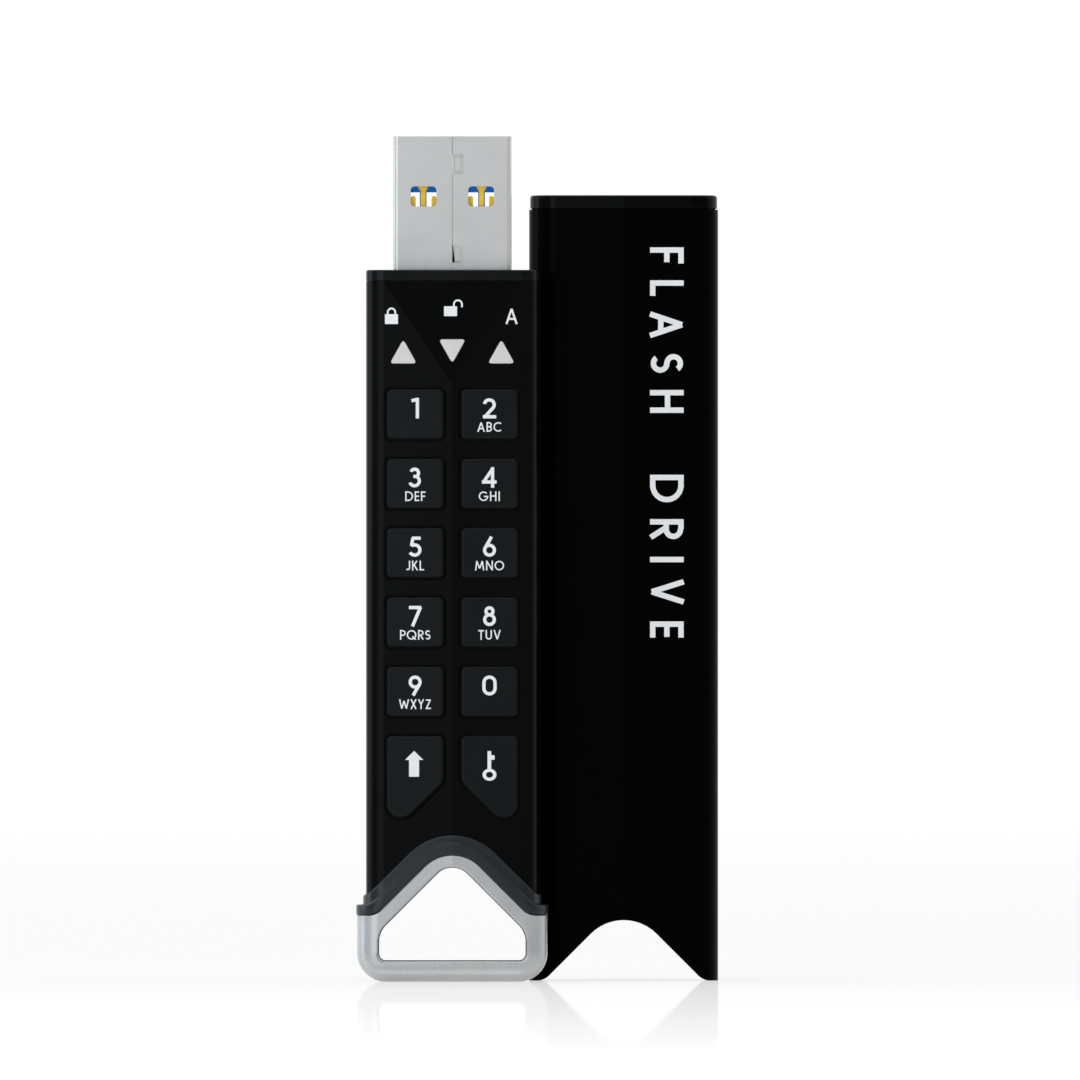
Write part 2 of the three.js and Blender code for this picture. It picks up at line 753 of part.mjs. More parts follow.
const model = new THREE.Group();
model.add(drive, sleeve);
export default model;
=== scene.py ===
# %% [markdown]
# # A keypad flash drive and its sleeve
# The drive stands on its metal loop and the sleeve that protects it stands just behind. Every piece
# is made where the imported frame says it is, so nothing has to be fitted afterwards. Lengths are typed
# in millimetres, because that is how a maker thinks of something this small, and each finished mesh
# is scaled to metres once, at the end.

import math

import bmesh
import bpy
from mathutils import Matrix, Vector


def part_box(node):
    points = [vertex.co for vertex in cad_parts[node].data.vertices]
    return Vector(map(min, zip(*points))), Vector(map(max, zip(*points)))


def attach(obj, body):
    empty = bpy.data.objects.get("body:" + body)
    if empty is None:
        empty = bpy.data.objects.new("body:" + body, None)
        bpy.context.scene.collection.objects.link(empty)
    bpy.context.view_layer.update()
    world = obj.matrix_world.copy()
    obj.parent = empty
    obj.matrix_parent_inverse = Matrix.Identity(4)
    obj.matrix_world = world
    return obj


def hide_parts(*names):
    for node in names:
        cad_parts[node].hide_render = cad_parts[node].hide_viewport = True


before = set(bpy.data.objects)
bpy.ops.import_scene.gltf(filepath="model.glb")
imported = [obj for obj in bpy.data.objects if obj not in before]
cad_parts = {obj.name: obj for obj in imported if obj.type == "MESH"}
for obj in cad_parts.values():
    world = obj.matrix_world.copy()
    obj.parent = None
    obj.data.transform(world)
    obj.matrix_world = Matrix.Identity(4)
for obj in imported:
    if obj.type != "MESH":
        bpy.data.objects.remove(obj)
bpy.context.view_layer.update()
MM = 0.001

# %% [markdown]
# ## Places read from the frame
# Widths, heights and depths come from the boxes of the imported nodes. Only what a box can't tell is
# typed here: how steeply the faces slope away from the ridge, corner radii, and the chevron's shape.


# %% Sizes
def box_mm(node):
    """Lowest and highest corner of a CAD node, in millimetres."""
    low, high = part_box(node)
    return Vector(low) / MM, Vector(high) / MM


COVER_LOW, COVER_HIGH = box_mm("front_cover")
HALF_WIDTH = COVER_HIGH.x
RIDGE = -COVER_LOW.y
HOUSING_TOP = COVER_HIGH.z
HOUSING_CORNER = 1.8
FACET_SLOPE = math.tan(math.radians(2.5))
VEE_TIP = 60.5
VEE_HALF_WIDTH = 7.07
VEE_SLOPE = FACET_SLOPE * VEE_HALF_WIDTH / (HOUSING_TOP - VEE_TIP)
FRONT_INSIDE = 3.05
REAR_INSIDE = 3.35
CAVITY_HALF_WIDTH = 7.75
ARC_STEPS = 12  # straight pieces in a quarter turn
BEYOND = 30.0  # past the end of anything that is cut

SLEEVE_LOW, SLEEVE_HIGH = box_mm("sleeve_tube")
SLEEVE_MIDDLE = (SLEEVE_LOW + SLEEVE_HIGH) / 2
print(f"housing {2 * HALF_WIDTH:.2f} mm wide, {2 * RIDGE:.2f} mm deep, top at {HOUSING_TOP:.2f} mm")

# %% [markdown]
# ## Camera
# Product pictures like this are taken from far away with a long lens, so that near and far parts
# come out at the same scale. A camera four metres away does the same here. It looks straight at the
# keypad, level, and its lens is worked out from the width that the picture should take in.

# %% Camera
VIEW_WIDTH = 109.51
VIEW_CENTRE = Vector((8.893, 0.0, 44.8))
CAMERA_AWAY = 4000.0

camera_data = bpy.data.cameras.new("camera")
camera_data.sensor_width = 36.0
camera_data.lens = camera_data.sensor_width * (CAMERA_AWAY - RIDGE) / VIEW_WIDTH
camera_data.clip_start = 0.1
camera_data.clip_end = 20.0
camera = bpy.data.objects.new("camera", camera_data)
camera.location = (VIEW_CENTRE + Vector((0, -CAMERA_AWAY, 0))) * MM
camera.rotation_euler = (math.radians(90), 0, 0)
bpy.context.scene.collection.objects.link(camera)
bpy.context.scene.camera = camera
print(f"lens {camera_data.lens:.0f} mm")

# %% [markdown]
# ## Outlines and bars
# Most of the drive is cut from bars. An outline is a flat face through a few corner points, and a
# vertex bevel turns each corner into an arc. A bevel moves back along both edges by a distance, so
# the distance for a wanted radius follows from the corner's angle. Extruding the face gives the bar.
# Drawing the arcs point by point would work too, but a bevel keeps the list down to real corners.


# %% Outline and bar helpers
def outline(corners, steps=ARC_STEPS):
    """A flat face in X and Z through (x, z, radius) corners, with its corners rounded."""
    bm = bmesh.new()
    verts = [bm.verts.new((x, 0, z)) for x, z, _ in corners]
    bm.faces.new(verts)
    for i, (x, z, radius) in enumerate(corners):
        if radius == 0:
            continue
        here = Vector((x, z))
        back = Vector(corners[i - 1][:2]) - here
        ahead = Vector(corners[(i + 1) % len(corners)][:2]) - here
        angle = back.angle(ahead)
        bmesh.ops.bevel(
            bm,
            geom=[verts[i]],
            offset=radius / math.tan(angle / 2),
            segments=max(2, round(steps * (math.pi - angle) / (math.pi / 2))),
            profile=0.5,
            affect="VERTICES",
            material=-1,
        )
    return bm


def extrude(bm, faces, by):
    """Extrudes faces by a vector and returns the moved verts."""
    made = bmesh.ops.extrude_face_region(bm, geom=faces)["geom"]
    moved = [item for item in made if isinstance(item, bmesh.types.BMVert)]
    bmesh.ops.translate(bm, verts=moved, vec=by)
    return moved


def pull(bm, face, by):
    """Extrudes one face of a closed solid, and removes the face that this leaves inside."""
    extrude(bm, [face], by)
    bmesh.ops.delete(bm, geom=[face], context="FACES_ONLY")


def bar(corners, front, back, steps=ARC_STEPS):
    """A bar along Y with that outline."""
    bm = outline(corners, steps)
    bmesh.ops.translate(bm, verts=bm.verts, vec=(0, front, 0))
    extrude(bm, bm.faces[:], (0, back - front, 0))
    bmesh.ops.recalc_face_normals(bm, faces=bm.faces)
    return bm


def rounded(half_x, half_z, radius):
    """Corners of a rounded rectangle about the origin."""
    return [
        (-half_x, -half_z, radius),
        (half_x, -half_z, radius),
        (half_x, half_z, radius),
        (-half_x, half_z, radius),
    ]


def column(half_x, half_y, radius, low, high, steps=ARC_STEPS):
    """An upright rounded bar: a bar along Y, turned to stand on end."""
    bm = bar(rounded(half_x, half_y, radius), 0, high - low, steps)
    bmesh.ops.rotate(bm, verts=bm.verts, cent=(0, 0, 0), matrix=Matrix.Rotation(math.pi / 2, 3, "X"))
    bmesh.ops.translate(bm, verts=bm.verts, vec=(0, 0, low))
    return bm


def block(x0, x1, y0, y1, z0, z1):
    """A plain box between two corners."""
    bm = bmesh.new()
    bmesh.ops.create_cube(bm, size=1.0)
    bmesh.ops.scale(bm, verts=bm.verts, vec=(x1 - x0, y1 - y0, z1 - z0))
    bmesh.ops.translate(bm, verts=bm.verts, vec=((x0 + x1) / 2, (y0 + y1) / 2, (z0 + z1) / 2))
    return bm


def slice_off(bm, point, normal):
    """Cuts along a plane, drops what is in front of it and closes the cut."""
    made = bmesh.ops.bisect_plane(
        bm,
        geom=bm.verts[:] + bm.edges[:] + bm.faces[:],
        plane_co=point,
        plane_no=normal,
        clear_outer=True,
    )
    rim = [item for item in made["geom_cut"] if isinstance(item, bmesh.types.BMEdge)]
    bmesh.ops.edgeloop_fill(bm, edges=rim)


def ridge(bm, verts=None):
    """Slopes the front and back away from a ridge at x = 0, as the housing's faces do."""
    if verts is None:
        everything = bm.verts[:] + bm.edges[:] + bm.faces[:]
        bmesh.ops.bisect_plane(bm, geom=everything, plane_co=(0, 0, 0), plane_no=(1, 0, 0))
        verts = bm.verts[:]
    for side in (-1, 1):
        for face in (-1, 1):
            here = [v for v in verts if v.co.x * side > 1e-6 and v.co.y * face > 1e-6]
            shear = Matrix.Identity(4)
            shear[1][0] = -face * side * FACET_SLOPE
            bmesh.ops.transform(bm, matrix=shear, verts=here)
    return bm


# %% [markdown]
# ## Cutting one solid with another
# Windows, pockets and the chevron are cuts through finished solids, which is what the Boolean
# modifier does best. The modifier is worked out at once and only its result is kept, so no cutter
# is left in the scene. Every solid here is closed, and the manifold solver is made for closed solids.


# %% Boolean helper
def loose_object(bm):
    mesh = bpy.data.meshes.new("tool")
    bm.to_mesh(mesh)
    bm.free()
    thing = bpy.data.objects.new("tool", mesh)
    bpy.context.scene.collection.objects.link(thing)
    return thing


def combine(base, operation, *tools):
    """base joined with, cut by or kept inside each tool, as a new bmesh."""
    target = loose_object(base)
    helpers = [loose_object(tool) for tool in tools]
    for helper in helpers:
        step = target.modifiers.new("step", "BOOLEAN")
        step.solver = "MANIFOLD"
        step.operation = operation
        step.object = helper
    result = target.evaluated_get(bpy.context.evaluated_depsgraph_get())
    bm = bmesh.new()
    bm.from_mesh(result.to_mesh())
    result.to_mesh_clear()
    for thing in [target, *helpers]:
        mesh = thing.data
        bpy.data.objects.remove(thing)
        bpy.data.meshes.remove(mesh)
    return bm


def gather(shapes):
    """Several separate bmeshes as one."""
    whole = bmesh.new()
    for shape in shapes:
        mesh = bpy.data.meshes.new("gathered")
        shape.to_mesh(mesh)
        shape.free()
        whole.from_mesh(mesh)
        bpy.data.meshes.remove(mesh)
    return whole


# %% [markdown]
# ## Finishing a piece
# Real edges are never perfectly sharp. Wherever it can, a piece gets its rounded edges while its
# mesh is still simple, before anything is cut out of it. A rubber piece made only of strips gets a
# Bevel modifier instead, which also fills its inner corners. Faces are shaded smooth. Edges that are
# still sharp are marked as such, and so are the faint ridges between two flat facets. The Weighted
# Normal modifier then keeps the large flat faces flat in the light, next to small round ones.

# %% Finishing helper
CREASE_LOW = math.radians(1.5)
CREASE_HIGH = math.radians(6.5)
SHARP = math.radians(35)


def finish_piece(bm, name, body, material, stands_for=(), edge=0.0, steps=3):
    """Scales a bmesh to metres and makes it a piece that rides on a body."""
    bmesh.ops.remove_doubles(bm, verts=bm.verts, dist=0.00001)
    bmesh.ops.dissolve_degenerate(bm, edges=bm.edges, dist=0.00005)
    bmesh.ops.recalc_face_normals(bm, faces=bm.faces)
    for face in bm.faces:
        face.smooth = True
    for line in bm.edges:
        angle = line.calc_face_angle(0.0)
        line.smooth = not (CREASE_LOW < angle < CREASE_HIGH or (angle > SHARP and not edge))
    bmesh.ops.scale(bm, verts=bm.verts, vec=(MM, MM, MM))
    mesh = bpy.data.meshes.new(name)
    bm.to_mesh(mesh)
    bm.free()
    mesh.materials.append(material)
    piece = bpy.data.objects.new(name, mesh)
    bpy.context.scene.collection.objects.link(piece)
    if edge:
        bevel = piece.modifiers.new("rounded_edges", "BEVEL")
        bevel.width = edge * MM
        bevel.segments = steps
        bevel.limit_method = "ANGLE"
        bevel.angle_limit = SHARP
        bevel.use_clamp_overlap = False
    level = piece.modifiers.new("flat_faces_stay_flat", "WEIGHTED_NORMAL")
    level.keep_sharp = True
    level.weight = 90
    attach(piece, body)
    if stands_for:
        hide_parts(*stands_for)
    print(f"{name}: {len(mesh.polygons)} faces")
    return piece


# %% [markdown]
# ## Materials
# All of the finishes share one recipe: a fine grain that drives bump and roughness, and slow patches
# that shift the colour a little, the way a moulded or blasted surface varies from place to place.
# The grain is measured in millimetres through a Mapping node on Object coordinates, so it has a real
# size and stays put on the piece. An image texture could hold more detail, but would need unwrapping.


# %% Material recipe
def surface(
    name, dark, light, roughness, grain=0.08, bump=0.1, stretch=(1, 1, 1), metallic=0.0, patch=4.0, gloss=0.5
):
    """A procedural finish: two nearby colours, a (low, high) roughness and a grain in millimetres."""
    material = bpy.data.materials.new(name)
    material.use_nodes = True
    nodes = material.node_tree.nodes
    links = material.node_tree.links
    shader = nodes["Principled BSDF"]
    shader.inputs["Metallic"].default_value = metallic
    shader.inputs["Specular IOR Level"].default_value = gloss
    place = nodes.new("ShaderNodeTexCoord")

    fine_size = nodes.new("ShaderNodeMapping")
    fine_size.inputs["Scale"].default_value = [1 / (grain * MM * way) for way in stretch]
    links.new(place.outputs["Object"], fine_size.inputs["Vector"])
    fine = nodes.new("ShaderNodeTexNoise")
    fine.inputs["Scale"].default_value = 1.0
    fine.inputs["Detail"].default_value = 3.0
    links.new(fine_size.outputs["Vector"], fine.inputs["Vector"])

    patch_size = nodes.new("ShaderNodeMapping")
    patch_size.inputs["Scale"].default_value = [1 / (patch * MM)] * 3
    links.new(place.outputs["Object"], patch_size.inputs["Vector"])
    patches = nodes.new("ShaderNodeTexNoise")
    patches.inputs["Scale"].default_value = 1.0
    patches.inputs["Detail"].default_value = 2.0
    links.new(patch_size.outputs["Vector"], patches.inputs["Vector"])

    colours = nodes.new("ShaderNodeValToRGB")
    colours.color_ramp.elements[0].position = 0.35
    colours.color_ramp.elements[0].color = (*dark, 1)
    colours.color_ramp.elements[1].position = 0.65
    colours.color_ramp.elements[1].color = (*light, 1)
    links.new(patches.outputs["Fac"], colours.inputs["Fac"])
    links.new(colours.outputs["Color"], shader.inputs["Base Color"])

    polish = nodes.new("ShaderNodeMapRange")
    polish.inputs["To Min"].default_value = roughness[0]
    polish.inputs["To Max"].default_value = roughness[1]
    links.new(fine.outputs["Fac"], polish.inputs["Value"])
    links.new(polish.outputs["Result"], shader.inputs["Roughness"])

    relief = nodes.new("ShaderNodeBump")
    relief.inputs["Strength"].default_value = bump
    relief.inputs["Distance"].default_value = grain * MM
    links.new(fine.outputs["Fac"], relief.inputs["Height"])
    links.new(relief.outputs["Normal"], shader.inputs["Normal"])
    return material


# %% [markdown]
# The housing and the sleeve are black anodised aluminium, blasted before anodising, and the end plate
# is a shade lighter. The sleeve's tube has a darker, less glossy copy of the finish, which is painted
# shade for the sleeve standing behind the drive. The keys are rubber with a hard satin coat, slightly
# lighter again, and the collar is plain moulded rubber, the palest of the blacks. The dark line inside
# the loop's opening is painted shade, standing in for the shadow on the opening's walls.

# %% Dark finishes
anodised = surface(
    "black_anodised", (0.0007, 0.0009, 0.0011), (0.0010, 0.0012, 0.0014), (0.2, 0.26), bump=0.02, gloss=0.07
)
# Painted shade: the sleeve's tube gets a darker, less glossy copy of the anodised finish for the shade it
# stands in behind the drive.
shaded_sleeve_black = surface(
    "shaded_sleeve_black", (0.0003, 0.0003, 0.0003), (0.0005, 0.0005, 0.0005), (0.24, 0.3), bump=0.02, gloss=0.02
)
# Painted shade: a dark blue-grey for the ring that outlines the loop's opening, standing in for the shadow
# on its walls.
painted_shadow_line = surface("painted_shadow_line", (0.012, 0.016, 0.02), (0.018, 0.023, 0.028), (0.4, 0.5), gloss=0.05)
key_rubber = surface(
    "key_rubber", (0.0062, 0.0074, 0.0086), (0.0070, 0.0083, 0.0095), (0.28, 0.36), bump=0.03, gloss=0.09
)
collar_rubber = surface(
    "collar_rubber", (0.0155, 0.0192, 0.0225), (0.0172, 0.021, 0.0246), (0.25, 0.32), bump=0.02, gloss=0.3
)
plate_black = surface(
    "plate_black", (0.005, 0.0056, 0.006), (0.0062, 0.0068, 0.0072), (0.2, 0.26), bump=0.02, gloss=0.1
)
web_rubber = surface("web_rubber", (0.001, 0.001, 0.0011), (0.0015, 0.0015, 0.0016), (0.6, 0.75), gloss=0.03)
print("dark finishes ready")

# %% [markdown]
# The plug is rolled steel, with faint lines along its length, and the loop is satin nickel, which
# has no direction. Stretching the grain along one axis is all it takes to turn a blasted look into
# a rolled one.

# %% Metals
STEEL = ((0.61, 0.605, 0.60), (0.645, 0.64, 0.635), (0.26, 0.32))
NICKEL = ((0.50, 0.505, 0.51), (0.54, 0.545, 0.55), (0.24, 0.3))
plug_steel = surface("plug_steel", *STEEL, grain=0.03, bump=0.015, stretch=(1, 1, 30), metallic=0.5)
satin_nickel = surface("satin_nickel", *NICKEL, grain=0.05, bump=0.003, metallic=0.4)
gold = surface("gold", (0.88, 0.55, 0.02), (0.95, 0.62, 0.035), (0.3, 0.42), metallic=0.3)
dome_steel = surface("dome_steel", (0.55, 0.56, 0.57), (0.62, 0.63, 0.64), (0.25, 0.35), metallic=1.0)
foil = surface("foil", (0.5, 0.51, 0.52), (0.6, 0.61, 0.62), (0.3, 0.45), grain=0.6, bump=0.3, metallic=0.9)
print("metals ready")

# %% [markdown]
# Plastics and ink. The indicator lenses are milky light guides, and the legends are a thick white
# print that stands a little proud of the rubber.

# %% Plastics and ink
blue_plastic = surface(
    "blue_plastic", (0.001, 0.11, 0.42), (0.001, 0.13, 0.48), (0.35, 0.45), bump=0.03, gloss=0.15
)
lens_plastic = surface("lens_plastic", (0.68, 0.67, 0.665), (0.72, 0.71, 0.70), (0.3, 0.4), bump=0.02)
ink = surface("white_ink", (0.86, 0.87, 0.88), (0.91, 0.92, 0.93), (0.45, 0.6), grain=0.05, bump=0.08)
board_green = surface("board_green", (0.008, 0.08, 0.035), (0.012, 0.11, 0.05), (0.3, 0.4), grain=0.3)
chip_black = surface(
    "chip_black", (0.01, 0.01, 0.01), (0.014, 0.014, 0.014), (0.5, 0.65), grain=0.1, bump=0.2
)
led_resin = surface("led_resin", (0.8, 0.74, 0.5), (0.86, 0.8, 0.58), (0.15, 0.25))
print("plastics and ink ready")

# %% [markdown]
# ## Chevron edges
# The housing's foot, the collar, the loop and the sleeve's mouth all follow one line: a 45 degree
# roof with a round apex, which flattens out at the sides so that the collar can wrap round the body.
# Each of them takes that line at its own height, and everything on one side of it is cut away.


# %% Chevron helper
def chevron(peak, apex_radius, side, side_radius, closed_at):
    """Corners of the region between a chevron line and the level closed_at."""
    reach = peak - side
    line = [
        (-BEYOND, side, 0),
        (-reach, side, side_radius),
        (0, peak, apex_radius),
        (reach, side, side_radius),
        (BEYOND, side, 0),
    ]
    return [*line, (BEYOND, closed_at, 0), (-BEYOND, closed_at, 0)]


def below(line, foot=-BEYOND):
    return bar(chevron(*line, foot), -BEYOND, BEYOND)


def above(line, top=3 * BEYOND):
    return bar(chevron(*line, top), -BEYOND, BEYOND)


HOUSING_FOOT = (15.35, 4.4, 7.4, 1.6)
FLANGE_TOP = (16.07, 4.85, 7.8, 1.6)
FLANGE_FOOT = (14.45, 3.84, 6.75, 1.8)
LOOP_TOP = (14.39, 3.84, 6.7, 1.8)
LIP_TOP = (17.4, 6.15, 8.72, 1.4)
POCKET_FLOOR = (15.28, 4.4, 7.33, 1.6)
SLEEVE_MOUTH = (8.1, 4.7, 0.0, 1.6)

# %% [markdown]
# ## Key and lens windows
# The keys' places are read from their CAD nodes. A key node's box takes in the rim that holds the
# key behind the wall, so the visible cap is the box less the rim. Ten keys are rounded squares. The
# two at the foot run down to the collar's slope, with one large round corner and one long 45 degree
# side.

# %% Window outlines
KEYS = ["1", "2", "3", "4", "5", "6", "7", "8", "9", "0", "shift", "unlock"]
KEY_RIM = 0.5
KEY_GAP = 0.3
KEY_CORNER = 0.5
TALL_KEY = 7.0  # taller than this, a key is one of the pair at the foot
SLOPE_START = 2.12 + 2.525  # of the pair's long side, below the cap's top
SLOPE_CORNER = 1.2
FOOT_CORNER = 1.4


def key_corners(legend, grow):
    """Corners of a key's cap, grown all round, and its centre."""
    low, high = box_mm(f"key_{legend}")
    centre = (low + high) / 2
    half_x = (high.x - low.x) / 2 - KEY_RIM + grow
    half_z = (high.z - low.z) / 2 - KEY_RIM + grow
    corner = KEY_CORNER + grow
    if high.z - low.z < TALL_KEY:
        return rounded(half_x, half_z, corner), centre
    slope = half_z - grow - SLOPE_START - grow * (math.sqrt(2) - 1)
    run = slope + half_z
    inward = 1 if centre.x < 0 else -1
    corners = [
        (-half_x * inward, -half_z, FOOT_CORNER + grow),
        ((half_x - run) * inward, -half_z, FOOT_CORNER + grow),
        (half_x * inward, slope, SLOPE_CORNER + grow),
        (half_x * inward, half_z, corner),
        (-half_x * inward, half_z, corner),
    ]
    return corners, centre


LENSES = ["lock", "unlock", "admin"]
LENS_HALF_WIDTH = 1.37
LENS_FOOT = -0.9
LENS_TIP = 1.56
LENS_RADIUS = 0.24


def lens_corners(name, grow):
    """Corners of a triangular lens, grown all round, and its place."""
    low, high = box_mm(f"led_{name}")
    middle = (low + high) / 2
    up = -1 if name == "unlock" else 1
    half = LENS_HALF_WIDTH + grow * 1.7
    base = up * (LENS_FOOT - grow)
    tip = up * (LENS_TIP + grow * 2)
    radius = LENS_RADIUS + grow
    return [(-half, base, radius), (half, base, radius), (0, tip, radius)], middle


def window(corners, centre):
    """A cutter through the front wall."""
    bm = bar(corners, -RIDGE - 2, -2)
    bmesh.ops.translate(bm, verts=bm.verts, vec=(centre.x, 0, centre.z))
    return bm


# %% [markdown]
# ## Housing
# The housing starts as one upright bar. Its faces are sloped away from the ridge, a shallow plane
# across the top of each face makes the V-shaped facet, and then it is split down the middle into the
# front cover and the rear shell. Splitting last guarantees that the two halves line up. Both are
# hollowed and get their chevron foot, the front cover is opened for keys and lenses, and the rear
# shell gets a thin lip inside the joint.


# %% Housing
def housing_block():
    bm = column(HALF_WIDTH, RIDGE, HOUSING_CORNER, 5, HOUSING_TOP)
    ridge(bm)
    slice_off(bm, (0, -RIDGE, VEE_TIP), (0, -1, VEE_SLOPE))
    slice_off(bm, (0, RIDGE, VEE_TIP), (0, 1, VEE_SLOPE))
    return bm


def front_cover():
    bm = housing_block()
    slice_off(bm, (0, 0, 0), (0, 1, 0))
    hollow = block(-CAVITY_HALF_WIDTH, CAVITY_HALF_WIDTH, -FRONT_INSIDE, 3, -1, HOUSING_TOP + 1)
    windows = [window(*key_corners(legend, KEY_GAP)) for legend in KEYS]
    windows += [window(*lens_corners(name, 0.06)) for name in LENSES]
    return combine(bm, "DIFFERENCE", hollow, gather(windows), below(HOUSING_FOOT))


def rear_shell():
    seam = box_mm("rear_shell")[0].y
    bm = housing_block()
    slice_off(bm, (0, seam, 0), (0, -1, 0))
    hollow = block(-CAVITY_HALF_WIDTH, CAVITY_HALF_WIDTH, -3, REAR_INSIDE, -1, HOUSING_TOP + 1)
    bm = combine(bm, "DIFFERENCE", hollow)
    for side in (-1, 1):  # a lip inside the joint keeps light and dust out
        steps = (-0.13, -0.15, -0.02, 0.05)
        thin, inner, edge, root = (side * (CAVITY_HALF_WIDTH + step) for step in steps)
        lip = block(*sorted((thin, edge)), seam - 0.5, seam + 0.4, 9.2, HOUSING_TOP - 0.4)
        rib = block(*sorted((inner, root)), seam + 0.1, seam + 0.6, 9, HOUSING_TOP - 0.2)
        bm = combine(bm, "UNION", lip, rib)
    return combine(bm, "DIFFERENCE", below(HOUSING_FOOT))


finish_piece(front_cover(), "cover_front", "drive", anodised, ["front_cover"])
finish_piece(rear_shell(), "cover_rear", "drive", anodised, ["rear_shell"])

# %% [markdown]
# ## End plate
# A flat plate closes the housing round the plug. Only its upper edge is rounded, so that edge is
# bevelled in the mesh before the hole for the plug is cut. A skirt reaches down into the housing, and
# a step all but closes the gap under the plate, which leaves a fine dark line round the drive.


# %% End plate
def rim_edges(bm, axis, level, keep=lambda middle: True):
    """Edges that lie in the plane axis = level, and whose middle passes keep."""
    found = []
    for line in bm.edges:
        middle = (line.verts[0].co + line.verts[1].co) / 2
        if all(abs(v.co[axis] - level) < 1e-4 for v in line.verts) and keep(middle):
            found.append(line)
    return found


def round_edges(bm, edges, width, segments):
    bmesh.ops.bevel(
        bm,
        geom=edges,
        offset=width,
        segments=segments,
        profile=0.5,
        affect="EDGES",
        material=-1,
    )


PLUG_LOW, PLUG_HIGH = box_mm("usb_shell")
PLATE_LOW, PLATE_HIGH = box_mm("top_end_plate")
PLATE_STEP = 0.2


def end_plate():
    bm = column(PLATE_HIGH.x, PLATE_HIGH.y, HOUSING_CORNER, HOUSING_TOP + 0.05, PLATE_HIGH.z)
    round_edges(bm, rim_edges(bm, 2, PLATE_HIGH.z), 0.22, 4)
    skirt = column(CAVITY_HALF_WIDTH - 0.05, FRONT_INSIDE - 0.05, 0.7, PLATE_LOW.z, HOUSING_TOP + 0.5)
    half_x, half_y, corner = (size - PLATE_STEP for size in (PLATE_HIGH.x, PLATE_HIGH.y, HOUSING_CORNER))
    step = column(half_x, half_y, corner, HOUSING_TOP + 0.01, HOUSING_TOP + 0.3)
    hole = column(PLUG_HIGH.x + 0.05, PLUG_HIGH.y + 0.05, 0.6, PLATE_LOW.z - 1, PLATE_HIGH.z + 1)
    return combine(combine(bm, "UNION", skirt, step), "DIFFERENCE", hole)


finish_piece(end_plate(), "end_plate", "drive", plate_black, ["top_end_plate"])

# %% [markdown]
# ## Keys
# A key is made the way a moulder would draw it: the rim that holds it behind the wall, then the cap
# rising through the window. Insetting the rim's face gives the cap's outline at exactly the right
# distance, and one more extrusion takes it out to the surface. Only the front of the cap is sloped
# to follow the housing's facet, so the rim stays square to the way the key travels. A short plunger
# behind reaches towards the snap dome.

# %% Keys
KEY_PROUD = 0.12
RIM_FRONT = -FRONT_INSIDE + 0.1
RIM_BACK = RIM_FRONT + 0.3
KEY_EDGE = 0.3


def largest_face(bm, direction):
    """The largest face that looks along direction."""
    facing = [face for face in bm.faces if face.normal.dot(Vector(direction)) > 0.99]
    return max(facing, key=lambda face: face.calc_area())


def keycap(legend):
    corners, centre = key_corners(legend, KEY_RIM)
    bm = bar(corners, RIM_FRONT, RIM_BACK)
    cap = largest_face(bm, (0, -1, 0))
    bmesh.ops.inset_region(bm, faces=[cap], thickness=KEY_RIM, use_even_offset=True)
    face_y = -RIDGE - KEY_PROUD
    pull(bm, cap, (0, face_y - RIM_FRONT, 0))
    plunger = largest_face(bm, (0, 1, 0))
    bmesh.ops.inset_region(bm, faces=[plunger], thickness=2.1, use_even_offset=True)
    pull(bm, plunger, (0, box_mm(f"key_{legend}")[1].y - RIM_BACK, 0))
    bmesh.ops.recalc_face_normals(bm, faces=bm.faces)
    round_edges(bm, rim_edges(bm, 1, face_y), KEY_EDGE, 5)
    bmesh.ops.translate(bm, verts=bm.verts, vec=(centre.x, 0, centre.z))
    ridge(bm, [v for v in bm.verts if v.co.y < face_y + KEY_EDGE + 0.05])
    return bm


for legend in KEYS:
    name = f"key_{legend}"
    finish_piece(keycap(legend), f"keycap_{legend}", name, key_rubber, [name])

# %% [markdown]
# ## Indicator lenses
# Three rounded triangles sit flush in the housing, with a wider foot inside that keeps them from
# being pushed out. The middle one lies on the V-shaped facet, so its face leans back instead of
# sideways.


# %% Lenses
def lean_back(bm, verts):
    """Moves verts back with height, as the V-shaped facet does."""
    shear = Matrix.Identity(4)
    shear[1][2] = VEE_SLOPE
    shear[1][3] = -VEE_TIP * VEE_SLOPE
    bmesh.ops.transform(bm, matrix=shear, verts=verts)


def indicator(name):
    corners, place = lens_corners(name, 0.25)
    bm = bar(corners, RIM_FRONT + 0.05, -1.85, steps=6)
    head = largest_face(bm, (0, -1, 0))
    bmesh.ops.inset_region(bm, faces=[head], thickness=0.25, use_even_offset=True)
    face_y = -RIDGE - 0.03
    pull(bm, head, (0, face_y - RIM_FRONT - 0.05, 0))
    bmesh.ops.recalc_face_normals(bm, faces=bm.faces)
    round_edges(bm, rim_edges(bm, 1, face_y), 0.07, 3)
    bmesh.ops.translate(bm, verts=bm.verts, vec=(place.x, 0, place.z))
    front = [v for v in bm.verts if v.co.y < face_y + 0.1]
    if abs(place.x) < 0.1:
        lean_back(bm, front)
    else:
        ridge(bm, front)
    return bm


for name in LENSES:
    lens = indicator(name)
    finish_piece(lens, f"indicator_{name}", "drive", lens_plastic, [f"lens_{name}"])

# %% [markdown]
# ## Collar
# A rubber collar seals the foot of the housing. It has a thin lip that hugs the body and a thicker
# flange below, against which the sleeve closes. Both are upright bars kept between two chevron
# lines. The inner angle between lip and flange is rounded by the same Bevel modifier that rounds the
# outer edges, which gives the soft hollow that moulded rubber has there.

# %% Collar
FLANGE_GROW = box_mm("collar")[1].x - HALF_WIDTH
LIP_GROW = 0.3


def grown(grow, low, high):
    """An upright bar with the housing's section, grown all round."""
    return ridge(column(HALF_WIDTH + grow, RIDGE + grow, HOUSING_CORNER + grow, low, high))


